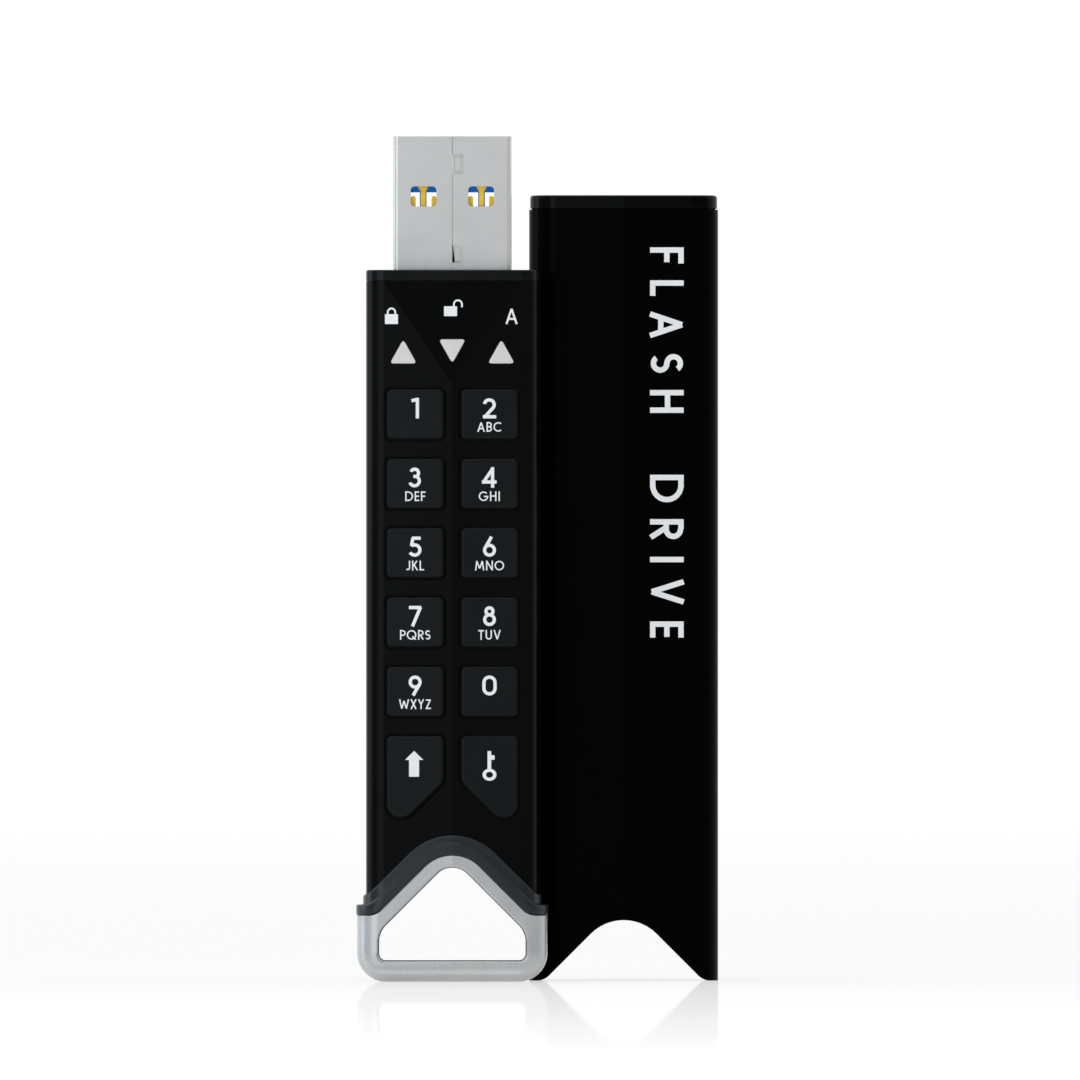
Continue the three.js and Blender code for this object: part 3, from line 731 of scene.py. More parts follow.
def collar():
    flange = combine(grown(FLANGE_GROW, 4, 25), "DIFFERENCE", below(FLANGE_FOOT), above(FLANGE_TOP))
    lip = combine(grown(LIP_GROW, 4, 25), "DIFFERENCE", below(FLANGE_FOOT), above(LIP_TOP))
    pocket = combine(grown(0.05, 4, 30), "DIFFERENCE", below(POCKET_FLOOR))
    slot = block(-3.05, 3.05, -1.25, 1.25, 4, 25)
    return combine(combine(flange, "UNION", lip), "DIFFERENCE", pocket, slot)


finish_piece(
    collar(), "rubber_collar", "drive", collar_rubber, ["collar"], edge=0.16, steps=4
)

# %% [markdown]
# ## Key loop
# The loop is cast metal. Its outer edges are rounded so strongly that they catch the light as a
# broad band, while the edges of the opening are only broken. The outer edges are bevelled on a plain
# slab that runs on past the top, so that the rounding doesn't change where the chevron cuts it off.
# The opening is cut with a tool whose two ends flare like a trumpet, which leaves the opening's edges
# rounded in the same cut. The tool is a row of outlines, each a little wider than the last, with
# bridges of faces between them.

# %% Key loop
LOOP_LOW, LOOP_HIGH = box_mm("bail")
LOOP_FOOT_RADIUS = 2.9
LOOP_EDGE = 2.1
OPENING = [(-7.53, 2.04, 0.78), (7.53, 2.04, 0.78), (7.53, 5.04, 2.2), (0, 12.57, 2.25), (-7.53, 5.04, 2.2)]
OPENING_EDGE = 0.22


def grow_corners(corners, grow):
    """The same outline with every edge moved outwards."""
    moved = []
    for i, (x, z, radius) in enumerate(corners):
        here = Vector((x, z))
        back = (Vector(corners[i - 1][:2]) - here).normalized()
        ahead = (Vector(corners[(i + 1) % len(corners)][:2]) - here).normalized()
        out = -(back + ahead).normalized() * grow / math.sin(back.angle(ahead) / 2)
        moved.append((x + out.x, z + out.y, radius + grow))
    return moved


def flared(corners, front, back, radius, steps=5):
    """A bar along Y whose outline widens in a quarter round at each end."""
    arc = [math.pi / 2 * step / steps for step in range(steps + 1)]
    mouth = [(radius * (1 - math.sin(turn)), radius * (1 - math.cos(turn))) for turn in arc]
    rings = [(radius, front - 2)]
    rings += [(grow, front + inside) for grow, inside in mouth]
    rings += [(grow, back - inside) for grow, inside in reversed(mouth)]
    rings += [(radius, back + 2)]
    shapes = []
    for grow, y in rings:
        ring = outline(grow_corners(corners, grow))
        bmesh.ops.translate(ring, verts=ring.verts, vec=(0, y, 0))
        shapes.append(ring)
    bm = gather(shapes)
    faces = bm.faces[:]
    loops = [face.edges[:] for face in faces]
    for near, far in zip(loops, loops[1:]):
        bmesh.ops.bridge_loops(bm, edges=near + far)
    bmesh.ops.delete(bm, geom=faces[1:-1], context="FACES_ONLY")
    bmesh.ops.recalc_face_normals(bm, faces=bm.faces)
    return bm


def key_loop():
    half = LOOP_HIGH.x
    slab = [(-half, 0, LOOP_FOOT_RADIUS), (half, 0, LOOP_FOOT_RADIUS), (half, BEYOND, 0), (-half, BEYOND, 0)]
    bm = bar(slab, LOOP_LOW.y, LOOP_HIGH.y)
    for level in (LOOP_LOW.y, LOOP_HIGH.y):
        round_edges(bm, rim_edges(bm, 1, level, lambda middle: middle.z < BEYOND - 0.01), LOOP_EDGE, 10)
    ridge(bm)
    opening = ridge(flared(OPENING, LOOP_LOW.y, LOOP_HIGH.y, OPENING_EDGE))
    bm = combine(bm, "DIFFERENCE", above(LOOP_TOP), opening)
    return combine(bm, "UNION", block(-3, 3, -1.2, 1.2, 12, LOOP_HIGH.z))


def painted_shadow_ring():
    """A thin dark ring half way through the opening, painted shade that stands in for the shadow on the
    opening's walls.
    """
    outside = bar(grow_corners(OPENING, 0.05), -0.12, 0.12)
    inside = bar(grow_corners(OPENING, -0.1), -BEYOND, BEYOND)
    return combine(outside, "DIFFERENCE", inside)


finish_piece(key_loop(), "key_loop", "drive", satin_nickel, ["bail"])
# The ring inside the opening is painted shade, a dark outline where the opening's walls fall in shadow.
finish_piece(painted_shadow_ring(), "loop_painted_shadow_ring", "drive", painted_shadow_line)

# %% [markdown]
# ## Plug
# The plug's shell is one strip of steel bent into a tube. Its two ends meet in the middle of the
# front face and lock together with two small tabs, which show as hairlines. They are cut as narrow
# grooves that don't quite go through the wall. The lower tab stands a little off its socket, so a
# wedge there is cut right through, and a dark plate behind it is painted shade, standing in for the
# shadow that fills the chink.

# %% Plug shell
PLUG_WALL = 0.3
PLUG_RADIUS = 0.48
WINDOW_X = 2.92
WINDOW_Z = 79.66
HAIRLINE = 0.05
TAB_LINE = 0.035
GROOVE_DEPTH = 0.25
SEAM_FOOT = 68.0
UPPER_TAB = (82.0, 83.9)
LOWER_TAB = (72.95, 74.65)
TAB_RIM = 0.2  # between the outline of a tab and the slot pressed in it
CHINK = [(-0.01, 72.99, 0), (0.25, 72.99, 0), (0.07, 74.72, 0), (-0.01, 74.72, 0)]


def groove(x0, z0, x1, z1, width=HAIRLINE):
    """A groove in the plug's front face, along a level or an upright line."""
    front = PLUG_LOW.y
    half = width / 2
    left, right = sorted((x0, x1))
    low, high = sorted((z0, z1))
    return block(left - half, right + half, front - 1, front + GROOVE_DEPTH, low - half, high + half)


def tab_outline(low, high, reach):
    """The three sides of a tab that reaches out from the seam, and the slot pressed inside it."""
    inner, outer = 0.24, reach - TAB_RIM
    sill, roof = low + 0.18, high - 0.18
    sides = [(0, high, reach, high), (reach, low, reach, high), (0, low, reach, low)]
    slot = [
        (inner, roof, outer, roof),
        (inner, sill, outer, sill),
        (inner, sill, inner, roof),
        (outer, sill, outer, roof),
    ]
    return [groove(*line, TAB_LINE) for line in sides + slot]


def plug_shell():
    bm = column(PLUG_HIGH.x, PLUG_HIGH.y, PLUG_RADIUS, PLUG_LOW.z, PLUG_HIGH.z)
    half_x, half_y, corner = (size - PLUG_WALL for size in (PLUG_HIGH.x, PLUG_HIGH.y, PLUG_RADIUS))
    inside = column(half_x, half_y, corner, PLUG_LOW.z - 1, PLUG_HIGH.z + 1)
    windows = []
    for side in (-1, 1):
        latch = bar(rounded(1.31, 1.02, 0.42), -BEYOND, BEYOND)
        bmesh.ops.translate(latch, verts=latch.verts, vec=(side * WINDOW_X, 0, WINDOW_Z))
        windows.append(latch)
    bm = combine(bm, "DIFFERENCE", inside, gather(windows))
    seam = [
        groove(0, UPPER_TAB[1], 0, PLUG_HIGH.z + 1),
        groove(0, LOWER_TAB[1] - HAIRLINE, 0, UPPER_TAB[0]),
        groove(0, SEAM_FOOT, 0, LOWER_TAB[0]),
    ]
    wedge = bar(CHINK, PLUG_LOW.y - 1, PLUG_LOW.y + PLUG_WALL + 0.1)
    gaps = [wedge, groove(0.04, 73.02, 0.76, 73.02, 0.09)]
    lines = seam + tab_outline(*UPPER_TAB, 1.05) + tab_outline(*LOWER_TAB, 1.0) + gaps
    for line in lines:
        bm = combine(bm, "DIFFERENCE", line)
    return bm


def painted_chink_shade():
    """A dark plate behind the lower tab, painted shade that shows as a dark chink where the tab stands off.
    """
    inside = PLUG_LOW.y + PLUG_WALL
    return block(-0.3, 1.0, inside, inside + 0.05, LOWER_TAB[0] - 0.25, LOWER_TAB[1] + 0.25)


finish_piece(plug_shell(), "plug_shell", "drive", plug_steel, ["usb_shell"])
# The plate behind the lower tab is painted shade for the chink.
finish_piece(painted_chink_shade(), "painted_chink_shade", "drive", web_rubber)

# %% [markdown]
# ## Contacts
# Through the latch windows one sees the long contacts. Each is a stamped strip of gilded metal that
# widens towards the tip of the tongue, over a plastic rib that is a little wider than the strip. An
# outline of four points a side and one extrusion make the strip.

# %% Contacts
STRIP_HALF = 0.25
STRIP_PAD_HALF = 0.5
STRIP_FRONT = -1.7  # the bent contact comes close behind the latch window
FLARE_LOW = 80.14
FLARE_HIGH = 80.58
LONG_STRIPS = [f"usb_contact_{number}" for number in range(1, 5)]
SHORT_STRIPS = [f"usb_fast_contact_{number}" for number in range(1, 6)]
WINDOW_STRIPS = [LONG_STRIPS[0], LONG_STRIPS[3]]
BENT_STRIP_X = 2.96


def middle_x(node):
    """The middle of a contact. Those behind the windows are bent towards the window's middle."""
    low, high = box_mm(node)
    middle = (low.x + high.x) / 2
    return math.copysign(BENT_STRIP_X, middle) if node in WINDOW_STRIPS else middle


def flare(foot, top, extra=0.0):
    """Corners of a strip about x = 0 that widens between two heights."""
    side = [(STRIP_HALF, foot), (STRIP_HALF, FLARE_LOW), (STRIP_PAD_HALF, FLARE_HIGH), (STRIP_PAD_HALF, top)]
    return [(x + extra, z, 0) for x, z in side] + [(-x - extra, z, 0) for x, z in reversed(side)]


def strip(corners, node):
    bm = bar(corners, STRIP_FRONT, box_mm(node)[1].y)
    bmesh.ops.translate(bm, verts=bm.verts, vec=(middle_x(node), 0, 0))
    return bm


for node in LONG_STRIPS:
    low, high = box_mm(node)
    long_strip = strip(flare(low.z, high.z), node)
    finish_piece(long_strip, node.replace("usb_", "gilded_"), "drive", gold, [node])

for node in SHORT_STRIPS:
    low, high = box_mm(node)
    half = (high.x - low.x) / 2
    corners = [(-half, low.z, 0), (half, low.z, 0), (half, high.z, 0.2), (-half, high.z, 0.2)]
    finish_piece(strip(corners, node), node.replace("usb_", "gilded_"), "drive", gold, [node])

# %% [markdown]
# The blue tongue is a thin bar with a flat back. Behind each latch window it is open from front to
# back, except for a rib under the long contact, and its edge is notched so that the contact's
# widening can be seen.

# %% Tongue
TONGUE_LOW, TONGUE_HIGH = box_mm("usb_tongue")
SHELF = -0.17  # the back face of the tongue, above its foot


def tongue():
    foot_top = 71.0
    bm = column(TONGUE_HIGH.x, TONGUE_HIGH.y, 0.3, TONGUE_LOW.z, TONGUE_HIGH.z, steps=4)
    cutters = [block(-BEYOND, BEYOND, SHELF, BEYOND, foot_top, BEYOND * 4)]
    for node in WINDOW_STRIPS:
        centre = middle_x(node)
        side = math.copysign(WINDOW_X, centre)
        cutters.append(block(side - 1.5, side + 1.5, -BEYOND, BEYOND, 78.3, 80.08))
        notch = bar(flare(80.0, 81.2, 0.01), -BEYOND, BEYOND)
        bmesh.ops.translate(notch, verts=notch.verts, vec=(centre, 0, 0))
        cutters.append(notch)
    return combine(bm, "DIFFERENCE", *cutters)


def ribs():
    middles = [middle_x(node) for node in WINDOW_STRIPS]
    return gather([block(x - 0.34, x + 0.34, STRIP_FRONT + 0.1, SHELF, 78.2, 80.2) for x in middles])


finish_piece(tongue(), "blue_tongue", "drive", blue_plastic, ["usb_tongue"])
finish_piece(ribs(), "contact_ribs", "drive", blue_plastic)

# %% [markdown]
# ## Sleeve
# The sleeve is a drawn tube with the housing's section, a little larger, and a separate end cap. A
# thin seal shows as a fine dark line between them. The tube's inside is cut as a second, smaller
# bar. The mouth follows the collar's chevron, so the two fit together when the sleeve is on.

# %% Sleeve
SLEEVE_OUTSIDE = (SLEEVE_HIGH.x - SLEEVE_LOW.x) / 2 - HALF_WIDTH
SLEEVE_INSIDE = 0.24
CAP_GROW = SLEEVE_OUTSIDE - 0.1
CAP_LOW, CAP_HIGH = box_mm("sleeve_cap")
CAP_SEAM = SLEEVE_HIGH.z + 0.14


def to_sleeve(bm):
    bmesh.ops.translate(bm, verts=bm.verts, vec=(SLEEVE_MIDDLE.x, SLEEVE_MIDDLE.y, 0))
    return bm


def sleeve_body():
    bore = grown(SLEEVE_INSIDE, -5, SLEEVE_HIGH.z + 5)
    tube = grown(SLEEVE_OUTSIDE, -2, SLEEVE_HIGH.z)
    return to_sleeve(combine(tube, "DIFFERENCE", bore, below(SLEEVE_MOUTH)))


def sleeve_end():
    bm = column(HALF_WIDTH + CAP_GROW, RIDGE + CAP_GROW, HOUSING_CORNER + CAP_GROW, CAP_SEAM, CAP_HIGH.z)
    round_edges(bm, rim_edges(bm, 2, CAP_HIGH.z), 0.3, 4)
    ridge(bm)
    skirt = grown(SLEEVE_INSIDE - 0.05, CAP_LOW.z, CAP_SEAM + 0.3)
    return to_sleeve(combine(bm, "UNION", skirt))


# The tube's darker finish is painted shade. The cap keeps the plain anodised finish.
finish_piece(sleeve_body(), "sleeve_body", "sleeve", shaded_sleeve_black, ["sleeve_tube"])
finish_piece(sleeve_end(), "sleeve_end", "sleeve", anodised, ["sleeve_cap"])

# %% [markdown]
# ## A pen for the legends
# The legends are drawn with a pen of one width, like a draughtsman's stencil. A straight stroke is
# a short edge across the pen, extruded along the stroke, and a curved one is the same edge spun
# about a centre. The strokes are then thickened and joined into one solid. A font would be quicker,
# but a pen gives exactly the plain round letters that keypads have. Letters are one unit tall.

# %% Pen
PEN = 0.16  # width of a stroke for a letter one unit tall
LETTER_PEN = 0.135
HALF = PEN / 2
TOP = 1 - HALF
INK_PROUD = 0.02
INK_SUNK = 0.05


def straight(bm, x0, z0, x1, z1, width=PEN):
    start = Vector((x0, 0, z0))
    along = Vector((x1, 0, z1)) - start
    across = along.cross(Vector((0, 1, 0))).normalized() * width / 2
    tip = bm.edges.new([bm.verts.new(start - across), bm.verts.new(start + across)])
    made = bmesh.ops.extrude_edge_only(bm, edges=[tip])["geom"]
    moved = [item for item in made if isinstance(item, bmesh.types.BMVert)]
    bmesh.ops.translate(bm, verts=moved, vec=along)


def curved(bm, x, z, radius, start, end, width=PEN):
    """An arc from start to end, in degrees anticlockwise from the right."""
    out = Vector((math.cos(math.radians(start)), 0, math.sin(math.radians(start))))
    centre = Vector((x, 0, z))
    near = bm.verts.new(centre + out * (radius - width / 2))
    far = bm.verts.new(centre + out * (radius + width / 2))
    tip = bm.edges.new([near, far])
    bmesh.ops.spin(
        bm,
        geom=[near, far, tip],
        cent=centre,
        axis=(0, -1, 0),
        angle=math.radians(end - start),
        steps=max(4, round(abs(end - start) / 15)),
        use_merge=abs(end - start) == 360,
    )


# %% [markdown]
# Each character is a width and a list of strokes: four numbers make a straight stroke, and five make
# an arc of centre, radius, start and end angle.

# %% Characters
STEM = (0.12, 0, 0.12, 1)
RING = (0.5, 0.5, 0.5 - HALF, 0, 360)
CHARACTERS = {
    "0": (
        0.74,
        [
            (0.37, 0.64, 0.27, 0, 180),
            (0.37, 0.36, 0.27, 180, 360),
            (0.1, 0.36, 0.1, 0.64),
            (0.64, 0.36, 0.64, 0.64),
        ],
    ),
    "1": (0.42, [(0.32, 0, 0.32, 1), (0.03, 0.86, 0.32, 0.93)]),
    "2": (0.68, [(0.33, 0.665, 0.24, 170, -38), (0.525, 0.525, 0.1, 0.06), (0.02, HALF, 0.67, HALF)]),
    "3": (0.66, [(0.31, 0.72, 0.185, 160, -75), (0.3, 0.33, 0.235, 80, -160), (0.24, 0.55, 0.36, 0.55)]),
    "4": (0.74, [(0.52, 0, 0.52, 1), (0.0, 0.28, 0.72, 0.28), (0.1, 0.3, 0.53, 0.94)]),
    "5": (0.66, [(0.18, TOP, 0.6, TOP), (0.22, TOP, 0.15, 0.54), (0.31, 0.345, 0.25, 130, -152)]),
    "6": (0.68, [(0.34, 0.335, 0.24, 0, 360), (0.132, 0.455, 0.44, 0.99)]),
    "7": (0.66, [(0.03, TOP, 0.63, TOP), (0.59, 0.93, 0.2, 0.0)]),
    "8": (0.66, [(0.33, 0.735, 0.17, 0, 360), (0.33, 0.33, 0.235, 0, 360)]),
    "9": (0.68, [(0.34, 0.665, 0.24, 0, 360), (0.548, 0.545, 0.24, 0.01)]),
    "A": (0.8, [(0.08, 0, 0.4, 0.95), (0.72, 0, 0.4, 0.95), (0.2, 0.32, 0.6, 0.32)]),
    "B": (0.64, [STEM, (0.12, TOP, 0.34, TOP), (0.12, 0.52, 0.36, 0.52), (0.12, HALF, 0.34, HALF),
                 (0.33, 0.71, 0.19, -90, 90), (0.33, 0.3, 0.21, -90, 90)]),
    "C": (0.86, [(0.5, 0.5, 0.5 - HALF, 48, 312)]),
    "D": (0.86, [STEM, (0.12, TOP, 0.42, TOP), (0.12, HALF, 0.42, HALF), (0.36, 0.5, 0.5 - HALF, -90, 90)]),
    "E": (0.54, [STEM, (0.12, TOP, 0.52, TOP), (0.12, 0.5, 0.5, 0.5), (0.12, HALF, 0.52, HALF)]),
    "F": (0.52, [STEM, (0.12, TOP, 0.52, TOP), (0.12, 0.5, 0.48, 0.5)]),
    "G": (1.0, [(0.5, 0.5, 0.5 - HALF, 42, 360), (0.54, 0.48, 0.98, 0.48)]),
    "H": (0.76, [STEM, (0.64, 0, 0.64, 1), (0.12, 0.52, 0.64, 0.52)]),
    "I": (0.24, [STEM]),
    "J": (0.44, [(0.33, 0.28, 0.33, 1), (0.16, 0.265, 0.17, 0, -140)]),
    "K": (0.66, [STEM, (0.14, 0.42, 0.54, 0.98), (0.26, 0.56, 0.6, 0.02)]),
    "L": (0.5, [STEM, (0.12, HALF, 0.5, HALF)]),
    "M": (1.0, [(0.1, 0, 0.22, 0.96), (0.22, 0.96, 0.5, 0.2), (0.5, 0.2, 0.78, 0.96), (0.78, 0.96, 0.9, 0)]),
    "N": (0.8, [STEM, (0.68, 0, 0.68, 1), (0.13, 0.94, 0.67, 0.06)]),
    "O": (1.0, [RING]),
    "P": (0.62, [STEM, (0.12, TOP, 0.34, TOP), (0.12, 0.46, 0.34, 0.46), (0.34, 0.6825, 0.2225, -90, 90)]),
    "Q": (1.0, [RING, (0.58, 0.36, 0.92, 0.02)]),
    "R": (0.66, [STEM, (0.12, TOP, 0.34, TOP), (0.12, 0.48, 0.34, 0.48), (0.34, 0.6925, 0.2125, -90, 90),
                 (0.3, 0.46, 0.58, 0.02)]),
    "S": (0.58, [(0.29, 0.7, 0.2, 35, 277), (0.29, 0.3, 0.2, 97, -145)]),
    "T": (0.62, [(0.31, 0, 0.31, 1), (0.02, TOP, 0.6, TOP)]),
    "U": (0.74, [(0.12, 0.34, 0.12, 1), (0.62, 0.34, 0.62, 1), (0.37, 0.345, 0.25, 180, 360)]),
    "V": (0.76, [(0.08, 1, 0.38, 0.05), (0.68, 1, 0.38, 0.05)]),
    "W": (
        1.06,
        [(0.08, 1, 0.3, 0.05), (0.3, 0.05, 0.53, 0.85), (0.53, 0.85, 0.76, 0.05), (0.76, 0.05, 0.98, 1)],
    ),
    "X": (0.66, [(0.08, 0, 0.58, 1), (0.08, 1, 0.58, 0)]),
    "Y": (0.66, [(0.08, 1, 0.33, 0.48), (0.58, 1, 0.33, 0.48), (0.33, 0, 0.33, 0.5)]),
    "Z": (0.62, [(0.06, TOP, 0.56, TOP), (0.04, HALF, 0.58, HALF), (0.11, 0.07, 0.51, 0.93)]),
}
print(len(CHARACTERS), "characters")


# %% [markdown]
# A word is its characters side by side, centred. Each stroke becomes a thin solid and the solids are
# joined, so that crossing strokes leave no faces inside. The word is then laid on the sloping face.


# %% Words
def strokes(items, pen):
    """Flat bmeshes, one for each stroke."""
    shapes = []
    for item in items:
        bm = bmesh.new()
        if len(item) == 4:
            straight(bm, *item, width=pen)
        else:
            curved(bm, *item, width=pen)
        shapes.append(bm)
    return shapes


def word(text, pen=LETTER_PEN, gap=0.12, space=0.45):
    """The strokes of a word one unit tall, centred on x = 0, standing on z = 0."""
    shapes = []
    x = 0.0
    for letter in text:
        if letter == " ":
            x += space
            continue
        width, items = CHARACTERS[letter]
        drawn = strokes(items, pen)
        for bm in drawn:
            bmesh.ops.translate(bm, verts=bm.verts, vec=(x, 0, 0))
        shapes += drawn
        x += width + gap
    for bm in shapes:
        bmesh.ops.translate(bm, verts=bm.verts, vec=((gap - x) / 2, 0, 0))
    return shapes


def place(shapes, size, x, z):
    for bm in shapes:
        bmesh.ops.scale(bm, verts=bm.verts, vec=(size, size, size))
        bmesh.ops.translate(bm, verts=bm.verts, vec=(x, 0, z))
    return shapes


def print_on(shapes, surface_y):
    """Thickens flat shapes into ink on the level surface_y and joins what overlaps."""
    for bm in shapes:
        bmesh.ops.translate(bm, verts=bm.verts, vec=(0, surface_y - INK_PROUD, 0))
        extrude(bm, bm.faces[:], (0, INK_PROUD + INK_SUNK, 0))
        bmesh.ops.recalc_face_normals(bm, faces=bm.faces)
    first, *others = shapes
    if not others:
        return first
    return combine(first, "UNION", *others)


# %% [markdown]
# ## Key legends
# Digits are a little over two millimetres tall. The letters below are half that height, as on a
# telephone. The keys for 1 and 0 have no letters, but their digit stays on the same line as the
# others. Each legend rides on its own key, so that it goes in with it.

# %% Key legends
LETTERS = {"2": "ABC", "3": "DEF", "4": "GHI", "5": "JKL", "6": "MNO", "7": "PQRS", "8": "TUV", "9": "WXYZ"}
DIGIT_SIZE = 2.08
DIGIT_RISE = -0.44  # foot of a digit from the key's centre
LETTER_SIZE = 1.0
LETTER_RISE = -1.8
KEY_FACE = -RIDGE - KEY_PROUD


def ride_on_key(bm, legend):
    ridge(bm, bm.verts[:])
    finish_piece(bm, f"legend_{legend}", f"key_{legend}", ink)


for legend in KEYS[:10]:
    centre = key_corners(legend, 0)[1]
    shapes = place(word(legend, pen=PEN), DIGIT_SIZE, centre.x, centre.z + DIGIT_RISE)
    if legend in LETTERS:
        shapes += place(word(LETTERS[legend], gap=0.1), LETTER_SIZE, centre.x, centre.z + LETTER_RISE)
    ride_on_key(print_on(shapes, KEY_FACE), legend)

# %% [markdown]
# The two keys at the foot carry pictures instead: an arrow and a key. The arrow is one outline. The
# key is drawn with the pen, a ring with a shaft and one tooth, with a wider stroke.


# %% Arrow and key pictures
def arrow():
    corners = [(-0.93, 0), (0.93, 0), (0, 0.92)]
    stem = [(-0.52, -1.7), (0.5, -1.7), (0.5, 0.05), (-0.52, 0.05)]
    return [outline([(x, z, 0) for x, z in part]) for part in (corners, stem)]


def little_key():
    ring, shaft, tooth = bmesh.new(), bmesh.new(), bmesh.new()
    curved(ring, 0, 0, 0.53, 0, 360, width=0.36)
    bmesh.ops.scale(ring, verts=ring.verts, vec=(1, 1, 0.86))
    straight(shaft, -0.01, 0.4, -0.01, 2.4, width=0.38)
    straight(tooth, 0.1, 1.75, 0.52, 1.75, width=0.46)
    return [ring, shaft, tooth]


arrow_centre = key_corners("shift", 0)[1]
arrow_picture = place(arrow(), 1.0, arrow_centre.x - 0.1, arrow_centre.z + 1.71)
ride_on_key(print_on(arrow_picture, KEY_FACE), "shift")
key_centre = key_corners("unlock", 0)[1]
key_picture = place(little_key(), 1.0, key_centre.x, key_centre.z + 0.21)
ride_on_key(print_on(key_picture, KEY_FACE), "unlock")

# %% [markdown]
# ## Indicator pictures
# A closed padlock, an open one and a capital A are printed above the three lenses. The shackle is a
# thin arch, and the open one is moved over so that one leg stands free beside the body.


# %% Indicator pictures
def padlock(shackle_x, radius):
    """A padlock whose shackle stands on the body, or beside it when it is open."""
    body = outline([(x, z, 0.06) for x, z, _ in rounded(0.66, 0.5, 0)])
    arch, left, right = bmesh.new(), bmesh.new(), bmesh.new()
    spring = 0.7
    curved(arch, shackle_x, spring, radius, 0, 180, width=0.18)
    straight(left, shackle_x - radius, 0.4, shackle_x - radius, spring + 0.03, width=0.17)
    straight(right, shackle_x + radius, 0.4, shackle_x + radius, spring + 0.03, width=0.17)
    return [body, arch, left, right]


def print_on_cover(shapes, name, on_vee=False):
    bm = print_on(shapes, -RIDGE)
    if on_vee:
        lean_back(bm, bm.verts[:])
    else:
        ridge(bm, bm.verts[:])
    finish_piece(bm, name, "drive", ink)


print_on_cover(place(padlock(0.0, 0.38), 1.0, -6.17, 67.2), "mark_locked")
print_on_cover(place(padlock(0.75, 0.41), 1.0, -0.18, 68.0), "mark_unlocked", on_vee=True)
print_on_cover(place(word("A", pen=0.125), 1.62, 6.01, 66.7), "mark_admin")

# %% [markdown]
# ## Sleeve lettering
# The words on the sleeve run down its right half. They only say what the thing is. Turning the word
# a quarter turn about the Y axis lays it down the sleeve, and then it follows the same slope as the
# sleeve's face.


# %% Sleeve lettering
def sleeve_words():
    size = 3.42
    shapes = place(word("FLASH DRIVE", pen=PEN, gap=0.46, space=1.3), size, 0, 0)
    for bm in shapes:
        bmesh.ops.rotate(bm, verts=bm.verts, cent=(0, 0, 0), matrix=Matrix.Rotation(math.pi / 2, 3, "Y"))
        bmesh.ops.translate(bm, verts=bm.verts, vec=(2.68, 0, 54.75))
    bm = print_on(shapes, -RIDGE - SLEEVE_OUTSIDE)
    ridge(bm, bm.verts[:])
    return to_sleeve(bm)


finish_piece(sleeve_words(), "sleeve_lettering", "sleeve", ink)

# %% [markdown]
# ## Parts kept from the frame
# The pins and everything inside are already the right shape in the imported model, so they keep their
# meshes. They get finishes and slightly rounded edges. A Weld modifier joins their loose triangles
# first, because an edge that belongs to only one triangle can't be rounded.

# %% Finishes for kept parts
KEPT = {
    satin_nickel: ["bail_pin_left", "bail_pin_right"],
    board_green: ["main_board"],
    web_rubber: ["keypad_web", "sleeve_cap_gasket"],
    dome_steel: ["dome_sheet", "battery_tab_plus", "battery_tab_minus", "crystal"],
    chip_black: ["flash_chip", "security_controller", "bridge_chip"],
    foil: ["battery"],
    led_resin: ["led_lock", "led_unlock", "led_admin"],
}
for material, names in KEPT.items():
    for name in names:
        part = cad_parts[name]
        part.data.materials.clear()
        part.data.materials.append(material)
        for polygon in part.data.polygons:
            polygon.material_index = 0
        weld = part.modifiers.new("joined_faces", "WELD")
        weld.merge_threshold = 0.001 * MM
        soft = part.modifiers.new("rounded_edges", "BEVEL")
        soft.width = 0.05 * MM
        soft.segments = 2
        soft.limit_method = "ANGLE"
        soft.angle_limit = SHARP
print(sum(len(names) for names in KEPT.values()), "kept parts finished")

# %% [markdown]
# ## Floor
# The floor is a wide white board that glows, as a board lit from below does, and a little more away
# from the drive, so that it stays white right up to the horizon. A weak, nearly sharp reflection lies
# in front of the drive and dies out towards the camera, so only its upper end shows, under the loop.

# %% Floor
FLOOR_SIZE = 40.0
MIRROR_FADES = -0.74  # how far in front of the drive the reflection has gone
MIRROR_PART = 0.3
GLOW_NEAR = 0.72
GLOW_FAR = 0.85

floor_bm = bmesh.new()
bmesh.ops.create_grid(floor_bm, x_segments=1, y_segments=1, size=FLOOR_SIZE / 2)
floor_mesh = bpy.data.meshes.new("floor")
floor_bm.to_mesh(floor_mesh)
floor_bm.free()
floor = bpy.data.objects.new("floor", floor_mesh)
bpy.context.scene.collection.objects.link(floor)

floor_paint = bpy.data.materials.new("floor_paint")
floor_paint.use_nodes = True
floor_nodes = floor_paint.node_tree.nodes
floor_links = floor_paint.node_tree.links
board = floor_nodes["Principled BSDF"]
board.inputs["Base Color"].default_value = (0.3, 0.3, 0.3, 1)
board.inputs["Roughness"].default_value = 1.0
board.inputs["Specular IOR Level"].default_value = 0.0
board.inputs["Emission Color"].default_value = (1, 1, 1, 1)
mirror = floor_nodes.new("ShaderNodeBsdfGlossy")
mirror.inputs["Roughness"].default_value = 0.02
where = floor_nodes.new("ShaderNodeTexCoord")
split = floor_nodes.new("ShaderNodeSeparateXYZ")
fade = floor_nodes.new("ShaderNodeMapRange")
fade.inputs["From Min"].default_value = MIRROR_FADES
fade.inputs["From Max"].default_value = 0.0
fade.inputs["To Max"].default_value = MIRROR_PART
distance = floor_nodes.new("ShaderNodeVectorMath")
distance.operation = "LENGTH"
glow = floor_nodes.new("ShaderNodeMapRange")
glow.inputs["From Min"].default_value = 0.2
glow.inputs["From Max"].default_value = 2.5
glow.inputs["To Min"].default_value = GLOW_NEAR
glow.inputs["To Max"].default_value = GLOW_FAR
mix = floor_nodes.new("ShaderNodeMixShader")
floor_links.new(where.outputs["Object"], split.inputs["Vector"])
floor_links.new(where.outputs["Object"], distance.inputs[0])
floor_links.new(distance.outputs["Value"], glow.inputs["Value"])
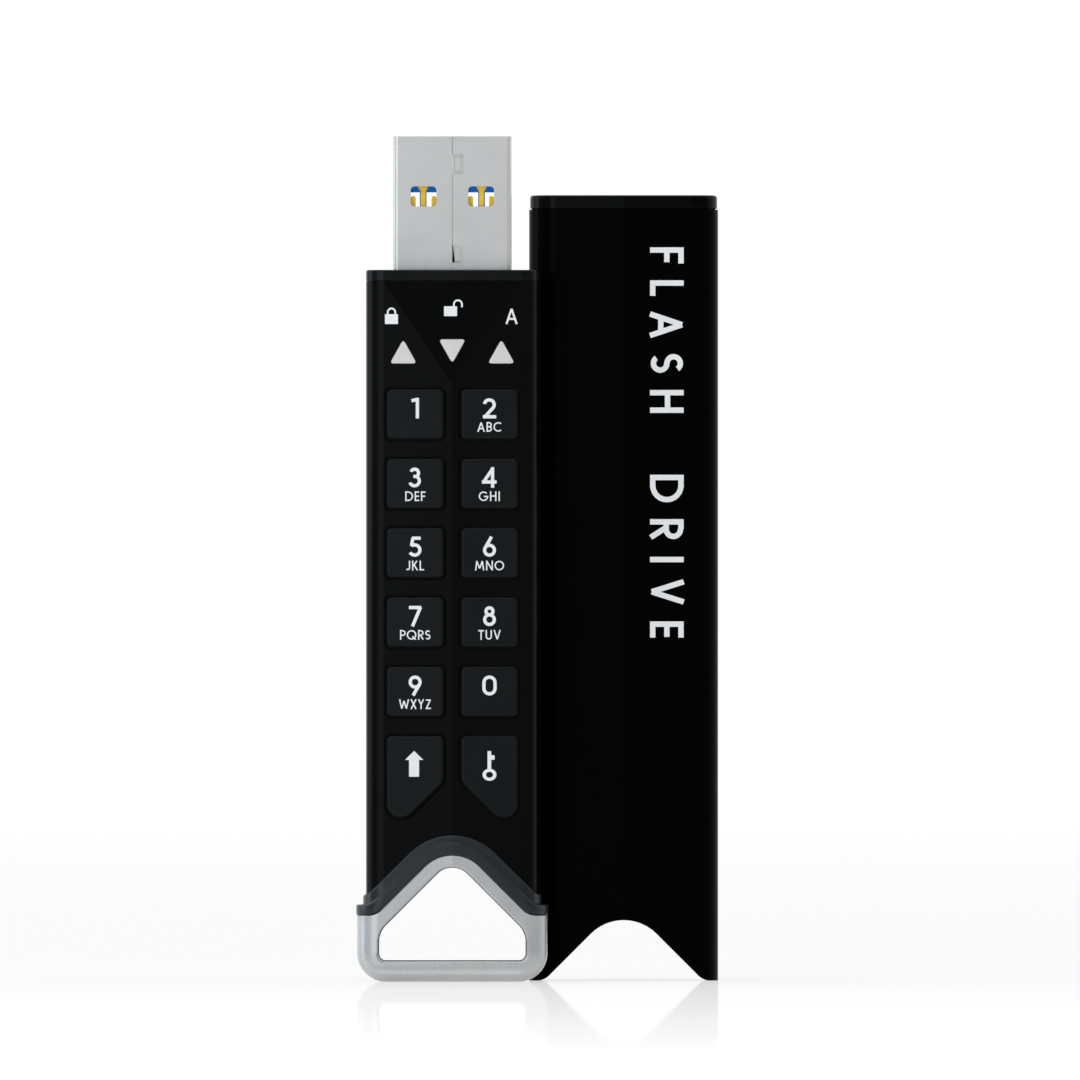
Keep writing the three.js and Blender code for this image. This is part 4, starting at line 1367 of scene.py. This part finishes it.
floor_links.new(glow.outputs["Result"], board.inputs["Emission Strength"])
floor_links.new(split.outputs["Y"], fade.inputs["Value"])
floor_links.new(fade.outputs["Result"], mix.inputs["Fac"])
floor_links.new(board.outputs["BSDF"], mix.inputs[1])
floor_links.new(mirror.outputs["BSDF"], mix.inputs[2])
floor_links.new(mix.outputs["Shader"], floor_nodes["Material Output"].inputs["Surface"])
floor_mesh.materials.append(floor_paint)
print("floor ready")

# %% [markdown]
# ## Light
# Black things are lit by what they reflect. The room behind the drive is white and the room on the
# camera's side is dim, so the faces stay black. A wide soft panel stands just left of the camera. Its
# right edge is in line with the drive's ridge, so the left half of each face picks up more of it than
# the right half. A tall strip at the left gives the upright edges their pale line, a very weak one
# does the same at the right, and a soft light above brings out the print.


# %% Light
def soft_light(name, place_mm, width_mm, height_mm, power, tint=(1, 1, 1)):
    """A rectangular area light that faces the middle of the drive."""
    lamp = bpy.data.lights.new(name, "AREA")
    lamp.shape = "RECTANGLE"
    lamp.size = width_mm * MM
    lamp.size_y = height_mm * MM
    lamp.energy = power
    lamp.color = tint
    light = bpy.data.objects.new(name, lamp)
    light.location = Vector(place_mm) * MM
    aim = (VIEW_CENTRE * MM - light.location).to_track_quat("-Z", "Y")
    light.rotation_euler = aim.to_euler()
    bpy.context.scene.collection.objects.link(light)
    return light


soft_light("left_strip", (-1000, 90, 330), 260, 640, 1.6, (0.72, 0.88, 1.0))
soft_light("front_panel", (-640, -1350, 420), 1000, 800, 6.0, (0.84, 0.94, 1.0))
soft_light("right_strip", (1000, 60, 330), 120, 640, 0.15)
soft_light("top_panel", (-100, -450, 1150), 700, 700, 2.5)

world = bpy.data.worlds.new("studio")
bpy.context.scene.world = world
world.use_nodes = True
room = world.node_tree
direction = room.nodes.new("ShaderNodeTexCoord")
towards = room.nodes.new("ShaderNodeVectorMath")
towards.operation = "DOT_PRODUCT"
towards.inputs[1].default_value = (0.0, 1.0, 1.0)
turn = room.nodes.new("ShaderNodeMapRange")
turn.inputs["From Min"].default_value = -0.15
turn.inputs["From Max"].default_value = 0.35
shades = room.nodes.new("ShaderNodeValToRGB")
shades.color_ramp.elements[0].color = (0.1, 0.1, 0.105, 1)
shades.color_ramp.elements[1].color = (1.0, 1.0, 1.0, 1)
room.links.new(direction.outputs["Generated"], towards.inputs[0])
room.links.new(towards.outputs["Value"], turn.inputs["Value"])
room.links.new(turn.outputs["Result"], shades.inputs["Fac"])
room.links.new(shades.outputs["Color"], room.nodes["Background"].inputs["Color"])
bpy.context.scene.view_settings.view_transform = "Standard"

# %% Finish
bpy.context.view_layer.update()
